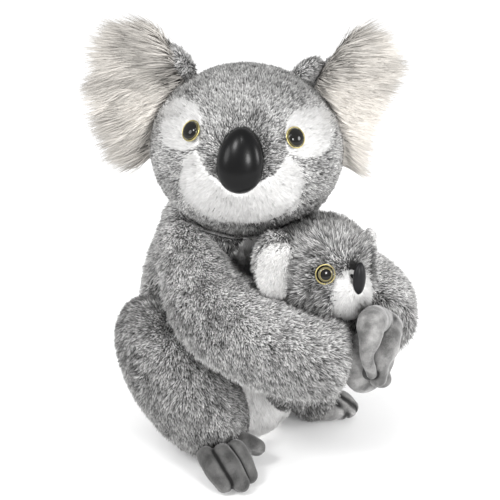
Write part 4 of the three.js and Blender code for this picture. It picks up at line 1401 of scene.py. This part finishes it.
@dataclass(frozen=True)
class Paw:
    """A suede hand or foot: a palm with tapered digits, sewn from two cloths with a seam ridge.

    hint points square to the plane that the digits' seams lie in.
    """

    name: str
    body: str
    palm: tuple[float, float, float]
    palm_size: tuple[float, float, float]
    digits: tuple
    digit_sizes: tuple[tuple[float, ...], ...]
    finish: Finish
    hint: tuple[float, float, float] = (0.0, 1.0, 0.0)
    ridge: float = 0.5 * MM
    ridge_width: float = 0.6 * MM
    fold_width: float = 1.3 * MM
    voxel: float = 0.7 * MM

    def shapes(self) -> list[Form]:
        """The palm and the digits."""
        palm = Blob(FIGURE.at(self.palm)[0], np.array(self.palm_size) / 2)
        return [palm, *self.tubes()]

    def tubes(self) -> list[Sleeve]:
        """The digits alone."""
        return [Sleeve(FIGURE.at(*route), sizes, side_hint=self.hint, steps=24)
                for route, sizes in zip(self.digits, self.digit_sizes)]

    def build(self) -> None:
        """The paw as one sewn skin."""
        skin = remeshed(self.shapes(), self.voxel).relaxed(3)
        points = skin.points
        rise = np.zeros(len(points))
        for tube in self.tubes():
            offset, reach, way, station = tube.nearest(points)
            other = np.cross(way, unit(np.cross(way, np.asarray(self.hint))))
            out = np.linalg.norm(offset, axis=1) / reach
            near = np.clip(1.6 - out, 0, 1) * (out > 0.7) * np.clip(station / 4 - 1, 0, 1)
            aside = np.sum(offset * other, axis=1) / self.ridge_width
            rise = np.maximum(rise, near * np.exp(-aside ** 2))
        second = np.sort([tube.gap(points) for tube in self.tubes()], axis=0)[1]
        fold = np.exp(-(second / self.fold_width) ** 2)
        crease = 0.25 * MM * Noise(41, 5 * MM).at(points) - 0.5 * MM * fold
        skin = skin.moved_out(rise * self.ridge + crease)
        skin = Skin.of(np.maximum(skin.points, [-1, -1, 0.3 * MM]), skin.triangles)
        piece = mesh_object(f"{self.name}_suede", skin.points, skin.triangles)
        # Colour attribute: seam wear lightens the ridge, and painted shade darkens the creases between the
        # digits.
        layer = piece.data.attributes.new("seam_wear_and_crease_shade", "FLOAT", "POINT")
        frayed = 0.7 + 0.5 * Noise(42, 1.5 * MM).at(points)
        layer.data.foreach_set("value", (0.3 * rise * frayed - 0.8 * fold).astype(np.float32))
        piece.data.shade_smooth()
        LOG.info("%s: %d triangles", self.name, len(skin.triangles))
        place(dress(piece, self.finish), self.body, "suede", self.name, fill=0.8)


@dataclass(frozen=True)
class Arm:
    """A stuffed arm that ends in a round fur cuff, whose pile is longer by the share cuff."""

    side: str
    knots: tuple
    sizes: tuple[float, ...]
    cuff: float = 0.2
    tone: float = 0.52
    voxel: float = 1.22 * MM
    pile: Pile = Pile()
    seed: int = 30

    def shape(self) -> Sleeve:
        """The arm under its pile."""
        return Sleeve(FIGURE.at(*self.knots), np.array(self.sizes) - 2 * INSET, end_round=0.4)

    def seam(self, points: Array) -> Array:
        """1 on the seam that follows the arm's outer and lower side, falling to 0 beside it."""
        offset, _, way, _ = self.shape().nearest(points)
        side = unit(np.cross(way, np.array([-0.66, -0.66, 0.37])))
        return np.exp(-((1 - np.sum(unit(offset) * side, axis=1)) / 0.014) ** 2)

    def comb(self, points: Array) -> Array:
        """Along the arm to the hand, drooping a little."""
        return self.shape().along(points) - 0.5 * UP

    def shade(self, points: Array) -> Array:
        """Lighter pile on the seam, painted light that grows higher up, and painted shade under the chin."""
        light = speckle(self.seed, self.tone)(points) + 0.45 * self.seam(points) + 1.2 * (points[:, 2] - 0.1)
        return light - fold_shade(MOTHER_HEAD.shapes(), 7 * MM)(points)

    def reach(self, points: Array) -> Array:
        """Longer pile on the seam and at the cuff."""
        _, _, _, station = self.shape().nearest(points)
        return 1 + 0.5 * self.seam(points) + self.cuff * np.clip((station - 38) / 8, 0, 1)

    def build(self, torso: Sleeve) -> None:
        """The arm, pressed in where it lies against the trunk and under the chin."""
        head = MOTHER_HEAD.shapes()
        skin = remeshed([self.shape()], self.voxel).relaxed(4).shaken(5, self.voxel)
        skin = clear_of(clear_of(skin, [torso], FACE_TO_FACE), head, UNDER_CHIN)
        short = short_where_pressed([torso, *head], INSET + 2.2 * MM)
        length = lambda p: short(p) * self.reach(p)
        hidden = nearness([torso], skin.centres) < 0
        skin = skin.moved_out(0.9 * MM * self.seam(skin.points))
        piece = fur(f"arm_{self.side}_fur", skin, self.pile, self.comb, self.shade, hidden, self.seed + 2,
                    length)
        place(dress(piece, Finish.GREY_FUR), f"arm_{self.side}", "grey_fur", f"arm_{self.side}", fill=0.85)


@dataclass(frozen=True)
class Leg:
    """A bent leg: a round haunch and a short shin.

    The haunch's top leans by tilt, in degrees, to the left of the camera's view.
    """

    side: str
    thigh: tuple[float, float, float]
    knee: tuple[float, float, float]
    shin: float = 54.5 * MM
    thigh_size: tuple[float, float, float] = (86.5 * MM, 91 * MM, 109.5 * MM)
    tilt: float = 0.0
    tone: float = 0.53
    voxel: float = 1.25 * MM
    pile: Pile = Pile()
    seed: int = 50

    def shapes(self) -> list[Form]:
        """The haunch and the shin, under their pile."""
        hip, knee = FIGURE.at(self.thigh, self.knee)
        size = self.shin - 2 * INSET
        turn = turn_about(2, -45) @ turn_about(1, -self.tilt)
        haunch = Blob(hip, np.array(self.thigh_size) / 2 - INSET, turn)
        return [haunch, Sleeve(np.array([hip, knee]), [size, size])]

    def comb(self, points: Array) -> Array:
        """Down and forwards, away from the hip."""
        hip = FIGURE.at(self.thigh)[0]
        return (points - hip) * np.array([1, 1, 0.6]) - 0.03 * UP

    def build(self, others: Sequence[Form]) -> None:
        """The leg, pressed in by the trunk and the arm, and flat where it stands."""
        clear = FACE_TO_FACE
        skin = remeshed(self.shapes(), self.voxel).relaxed(8).shaken(6, self.voxel)
        skin = clear_of(skin, others, clear)
        points = np.maximum(skin.points, [-1, -1, OFF_FLOOR])
        skin = Skin.of(points, skin.triangles)
        hidden = (skin.centres[:, 2] < 1.6 * MM) & (skin.facing[:, 2] < -0.8)
        hidden |= nearness(others, skin.centres) < 0
        # Painted shade: darker in the fold against the trunk and the arm and towards the top under the arm,
        # lighter towards the floor.
        dark = fold_shade(others, 16 * MM)
        tone = lambda p: speckle(self.seed, self.tone)(p) - dark(p) + 3 * (0.05 - p[:, 2])
        piece = fur(f"leg_{self.side}_fur", skin, self.pile, self.comb, tone, hidden, self.seed + 2,
                    short_where_pressed(others, clear - 0.5 * MM))
        place(dress(piece, Finish.GREY_FUR), f"leg_{self.side}", "grey_fur", f"leg_{self.side}", fill=0.85)


@dataclass(frozen=True)
class ClosurePad:
    """One half of the closure between the hands: a disc of hooks or loops."""

    size: float = 13.5 * MM
    depth: float = 1.4 * MM
    edge: float = 0.4 * MM

    def build(self, name: str, way: int, body: str) -> None:
        """The disc, its face away from the hand that it is sewn to."""
        low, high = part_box(name)
        middle = (np.array(low) + np.array(high)) / 2
        rim, top, edge = self.size / 2, self.depth / 2, self.edge
        profile = np.concatenate([
            [(0, top)], arc((rim - edge, top - edge), (edge, edge), 90, 0, 6), [(rim, -top), (0, -top)]])
        piece = solid(f"{name}_cloth", *revolved(profile, middle, np.array([0, way, 0.0]), 56))
        place(dress(piece, Finish.TAPE), body, "pad_cloth", name)


# The baby's body


@dataclass(frozen=True)
class BabyBody:
    """The baby's trunk and limbs, tucked between the mother's arms and her front."""

    size: tuple[float, float, float] = (52.5 * MM, 36.5 * MM, 75 * MM)
    arm: tuple = ((0.13, -0.66, 0.58), (0.2, -0.74, 0.53), (0.15, -0.82, 0.48))
    leg: tuple = ((0.12, -0.64, 0.33), (0.18, -0.74, 0.36))
    foot: tuple = ((0.19, -0.79, 0.37), (0.19, -0.82, 0.43))
    arm_size: float = 17 * MM
    leg_size: float = 23 * MM
    foot_size: float = 17 * MM
    voxel: float = 1.6 * MM
    pile: Pile = Pile(length=5 * MM)

    def route(self, shares: tuple, side: int) -> Array:
        """A limb's points on one side of the baby."""
        return FIGURE.at(*[(0.04 + side * x, y, z) for x, y, z in shares])

    def down(self, points: Array) -> Array:
        """Down and outwards from the baby's middle."""
        return points - BABY_MIDDLE - 0.04 * UP

    def build(self, others: Sequence[Form]) -> None:
        """The trunk and, for each side, an arm, a leg and a foot."""
        trunk = Blob(BABY_MIDDLE, np.array(self.size) / 2 - BABY_INSET)
        head = BABY_HEAD.shapes()
        self.furry("baby_body", [trunk], [*others, *head], 70)
        for number, (name, side) in enumerate(SIDES.items()):
            arm = Sleeve(self.route(self.arm, side), [self.arm_size - 2 * BABY_INSET] * 2)
            leg = Sleeve(self.route(self.leg, side), [self.leg_size - 2 * BABY_INSET] * 2)
            self.furry(f"baby_arm_{name}", [arm], [*others, *head, trunk], 73 + number)
            self.furry(f"baby_leg_{name}", [leg], [*others, trunk, arm], 76 + number)
            foot = Sleeve(self.route(self.foot, side), [self.foot_size] * 2)
            skin = clear_of(remeshed([foot], 0.8 * MM).relaxed(3), [leg], BABY_INSET + SEAM)
            piece = mesh_object(f"baby_foot_{name}_suede", skin.points, skin.triangles)
            piece.data.shade_smooth()
            place(dress(piece, Finish.SUEDE), "torso", "suede", f"baby_foot_{name}", fill=0.8)

    def furry(self, node: str, shapes: Sequence[Form], others: Sequence[Form], seed: int) -> None:
        """One furred piece, pressed in by the others."""
        clear = INSET + BABY_INSET + SEAM
        skin = clear_of(remeshed(shapes, self.voxel).relaxed(3).shaken(7, self.voxel), others, clear)
        hidden = nearness(others, skin.centres) < 0
        piece = fur(f"{node}_fur", skin, self.pile, self.down, speckle(seed, 0.5), hidden, seed + 1,
                    short_where_pressed(others, clear - 0.5 * MM))
        place(dress(piece, Finish.BABY_FUR), "torso", "baby_fur", node, fill=0.8)


class Studio:
    """The camera at the photograph's angle, the pale floor and the soft lights."""

    aim = np.array([0.0497, 0.0142, 0.1119])
    distance = 1.425
    azimuth = -45.0
    height_angle = 22.0
    half_view = 0.1796
    floor_reach = 3.0
    floor_grey = 0.85
    floor_glow = 0.1
    lamps = (
        ("left", (-1.35, 0.35, 0.75), 0.6, 6.0),
        ("right", (0.9, -1.5, 0.6), 0.6, 12.0),
        ("front", (-0.75, -0.75, 1.6), 0.25, 3.0),
        ("right_glint", (-0.55, -1.5, 0.75), 0.4, 13.0),
        ("left_glint", (-1.25, -0.3, 1.3), 0.4, 12.0))

    def build(self) -> None:
        """Makes them all."""
        turn, rise = np.radians(self.azimuth), np.radians(self.height_angle)
        back = np.array([np.sin(turn) * np.cos(rise), -np.cos(turn) * np.cos(rise), np.sin(rise)])
        data = bpy.data.cameras.new("camera")
        data.lens = data.sensor_width / 2 * self.distance / self.half_view
        data.clip_start, data.clip_end = 0.05, 20.0
        camera = bpy.data.objects.new("camera", data)
        camera.location = self.aim + back * self.distance
        camera.rotation_euler = Vector(-back).to_track_quat("-Z", "Y").to_euler()
        bpy.context.scene.collection.objects.link(camera)
        bpy.context.scene.camera = camera
        corners = self.floor_reach * np.array([[-1, -1, 0], [1, -1, 0], [1, 1, 0], [-1, 1, 0]])
        floor = mesh_object("floor", corners - FLOOR_GAP * UP, np.array([[0, 1, 2, 3]]))
        material, _, shader = new_material("floor_white")
        dial(shader, {"Base Color": grey(self.floor_grey), "Roughness": 0.9, "Emission Color": (1, 1, 1, 1),
                      "Emission Strength": self.floor_glow})
        floor.data.materials.append(material)
        for lamp in self.lamps:
            self.light(*lamp)
        world = bpy.data.worlds.new("studio")
        world.use_nodes = True
        dial(world.node_tree.nodes["Background"], {"Color": (1, 1, 1, 1), "Strength": 1.0})
        bpy.context.scene.world = world
        bpy.context.scene.view_settings.view_transform = "Standard"

    def light(self, name: str, where: Sequence[float], size: float, power: float) -> None:
        """A round soft light that faces the toy."""
        data = bpy.data.lights.new(name, "AREA")
        data.shape, data.size, data.energy = "DISK", size, power
        light = bpy.data.objects.new(name, data)
        light.location = where
        light.rotation_euler = Vector(self.aim - np.asarray(where)).to_track_quat("-Z", "Y").to_euler()
        bpy.context.scene.collection.objects.link(light)


SHORT_WHITE = Pile(
    length=3.8 * MM, lean=60, clump=2 * MM, gather=0.2, stray=0.1, wave=0.2, vary=0.3, mottle=0.14)
MOTHER_EYE = SafetyEye(14.4 * MM)
BABY_EYE = SafetyEye(13.5 * MM, 3 * MM, 12.5 * MM, 11.4 * MM, 6.8 * MM, finish=Finish.BABY_EYE)
MOTHER_NOSE = SafetyNose(29.5 * MM, 19.5 * MM, 42 * MM, 0.16, 3.6 * MM, 17 * MM, 17 * MM, 9.1 * MM, Finish.NOSE)
BABY_NOSE = SafetyNose(
    9.5 * MM, 7 * MM, 21.5 * MM, 0.0, 3 * MM, 12.5 * MM, 11.4 * MM, 12 * MM, Finish.BABY_NOSE)


def mother_ear(side: str, **own: object) -> Ear:
    """One of her ears: what both have in common, and the sizes of its own."""
    fringe = Pile(length=23.5 * MM, lean=67, clump=2.2 * MM, gather=0.3, stray=0.14, wave=0.34, vary=0.5,
                  bend=0.3, segments=2, laid=False, mottle=0.22)
    return Ear(
        MOTHER_HEAD, size=(78 * MM, 29.5 * MM, 112 * MM), lean=14, splay=0, side=side, body=f"ear_{side}",
        prefix="", pile=fringe, back_pile=Pile(length=3.6 * MM), back_finish=Finish.GREY_FUR,
        front_finish=Finish.EAR_FUR, **own)


def build_mother(arms: Sequence[Arm], legs: Sequence[Leg]) -> None:
    """Her head, trunk and limbs."""
    Head(MOTHER_HEAD, "head", "", Finish.GREY_FUR, Pile(length=3.3 * MM, lean=55), SHORT_WHITE, voxel=1.2 * MM,
         muzzle=(77.5 * MM, 49 * MM), bridge=(0.74, 1.1, 0.56), patch=(0.31, 0.142, 27 * MM, 30 * MM),
         eye=MOTHER_EYE, eye_at=(0.26, 0.127), nose=MOTHER_NOSE, nose_z=-0.01, tone=0.63, ahead=-0.2).build()
    mother_ear(
        "left", at=(0.51, 0.05, 0.255), core=(0.47, 0.36, 0.86), core_at=(-0.115, -0.045), tone=0.5,
        pale=(-0.04, -0.06, 0.6, 0.44), gusset=(-0.455, 0.13, 0.075, 0.12), voxel=0.85 * MM, seed=61).build()
    mother_ear(
        "right", at=(0.555, 0.05, 0.29), core=(0.56, 0.36, 0.72), core_at=(-0.09, -0.04), tone=0.48,
        pale=(-0.14, -0.08, 0.42, 0.26), gusset=(-0.34, 0.13, 0.085, 0.125), voxel=0.86 * MM, seed=59).build()
    torso = Torso()
    arm_shapes = [arm.shape() for arm in arms]
    torso.build([*arm_shapes, *(shape for leg in legs for shape in leg.shapes())])
    for arm in arms:
        arm.build(torso.shape())
    for leg, arm in zip(legs, arm_shapes):
        leg.build([torso.shape(), arm])
    ClosurePad().build("loop_pad", 1, "arm_right")
    ClosurePad().build("hook_pad", -1, "arm_left")


def build_paws() -> None:
    """Her suede hands and feet."""
    palm = (0.09, -1.19, 0.515)
    Paw("hand_right", "arm_right", palm, (47 * MM, 21 * MM, 47 * MM),
        tuple((palm, tip) for tip in ((0.2, -1.19, 0.565), (0.23, -1.18, 0.485), (0.2, -1.19, 0.405))),
        ((15 * MM, 15 * MM, 13 * MM),) * 3, Finish.SUEDE).build()
    Paw("hand_left", "arm_left", (0.321, -1.105, 0.588), (20.5 * MM, 9 * MM, 24.5 * MM),
        (((0.302, -1.123, 0.605), (0.011, -1.276, 0.704), (-0.039, -1.316, 0.653), (-0.079, -1.333, 0.604),
          (-0.016, -1.316, 0.505)),
         ((0.327, -1.123, 0.591), (0.203, -1.219, 0.618), (0.128, -1.281, 0.577), (0.054, -1.307, 0.541),
          (0.042, -1.307, 0.468))),
        ((17.2 * MM, 19.5 * MM, 14.2 * MM, 8.6 * MM, 6.8 * MM),
         (17.2 * MM, 19.5 * MM, 17 * MM, 14 * MM, 11 * MM)),
        Finish.SUEDE, hint=(-0.7, -0.7, 0.4)).build()
    # The right foot takes the darker copy of the suede, as painted shade.
    Paw("foot_right", "leg_right", (-0.415, -0.553, 0.088), (36 * MM, 36 * MM, 24 * MM),
        (((-0.596, -0.59, 0.129), (-0.6, -0.745, 0.047)), ((-0.532, -0.654, 0.14), (-0.535, -0.81, 0.047)),
         ((-0.435, -0.664, 0.135), (-0.435, -0.77, 0.047)), ((-0.35, -0.571, 0.129), (-0.265, -0.65, 0.094))),
        ((13 * MM, 14.5 * MM, 14 * MM, 12.5 * MM),) * 4, Finish.SHADED_FOOT_SUEDE, hint=(0, 0, 1)).build()
    Paw("foot_left", "leg_left", (0.45, -0.491, 0.064), (36 * MM, 36 * MM, 20 * MM),
        (((0.518, -0.56, 0.087), (0.577, -0.589, 0.043)), ((0.461, -0.574, 0.081), (0.541, -0.604, 0.04)),
         ((0.417, -0.575, 0.074), (0.491, -0.589, 0.04))),
        ((13 * MM, 13.5 * MM, 12.5 * MM, 11 * MM),) * 3, Finish.SUEDE, hint=(0, 0, 1)).build()


def build_baby(arms: Sequence[Arm]) -> None:
    """The baby's head, ears and body."""
    arm_shapes = [arm.shape() for arm in arms]
    around = (*MOTHER_HEAD.shapes(), *arm_shapes)
    shaggy = Pile(length=7.2 * MM, lean=48, clump=3 * MM, gather=0.36, stray=0.26, wave=0.6, mottle=0.36)
    Head(BABY_HEAD, "baby_head", "baby_", Finish.BABY_FUR, shaggy, SHORT_WHITE, voxel=1.1 * MM,
         muzzle=(34.5 * MM, 32 * MM), bridge=None, patch=None, eye=BABY_EYE, eye_at=(0.275, 0.065),
         nose=BABY_NOSE, nose_z=0.02, tone=0.6, socket=0.3, sunk=(5.4 * MM, 1.4 * MM), neighbours=around,
         seed=80).build()
    tufted = Pile(
        length=9 * MM, lean=64, clump=2.4 * MM, gather=0.3, stray=0.12, wave=0.25, segments=2, laid=False)
    for side, splay, back in (("left", 52, (-0.05, -0.05, 0.42, 0.4)), ("right", 24, (0, 0.12, 0.42, 0.42))):
        Ear(BABY_HEAD, at=(0.53, -0.05, 0.07), size=(33 * MM, 15 * MM, 45.5 * MM), lean=0, splay=splay,
            side=side, body="baby_head", prefix="baby_", core=(0.8, 0.4, 0.76), pile=tufted,
            back_pile=Pile(length=4.4 * MM), back_finish=Finish.BABY_FUR, front_finish=Finish.WHITE_FUR,
            voxel=0.9 * MM, pale=(0, 0, 2, 2), core_at=(-0.06, 0.03), tone=0.2, gusset=(-0.3, 0.1, 0.2, 0.2),
            back=back, droop=30 * MM, neighbours=around, seed=90 + SIDES[side]).build()
    BabyBody().build([Torso().shape(), *arm_shapes])


def main() -> None:
    """Builds every sub-assembly in order."""
    logging.basicConfig(level=logging.INFO, format="%(message)s")
    Studio().build()
    right = Arm("right", (
        (-0.346, -0.17, 0.864), (-0.408, -0.448, 0.696), (-0.378, -0.738, 0.632), (-0.275, -0.968, 0.576),
        (-0.127, -1.1, 0.555)), (44 * MM, 59 * MM, 60 * MM, 57 * MM, 52 * MM))
    # The left arm's higher tone is painted light, for the stronger light on that side.
    left = Arm("left", ((0.33, -0.15, 0.84), (0.465, -0.47, 0.66), (0.485, -0.82, 0.59), (0.36, -1.04, 0.575)),
               (57 * MM, 60.5 * MM, 60.5 * MM, 43.5 * MM), cuff=0.9, tone=0.62, seed=35)
    legs = [
        Leg("right", (-0.434, -0.203, 0.339), (-0.435, -0.42, 0.193), 46 * MM,
            (67 * MM, 86 * MM, 130 * MM), tilt=31),
        # The left leg's lower tone is painted shade, for the shadow of the arm over it.
        Leg("left", (0.43, -0.17, 0.315), (0.376, -0.454, 0.123), 38.5 * MM, tone=0.36, seed=55)]
    build_mother([right, left], legs)
    build_paws()
    build_baby([right, left])


if __name__ == "__main__":
    main()
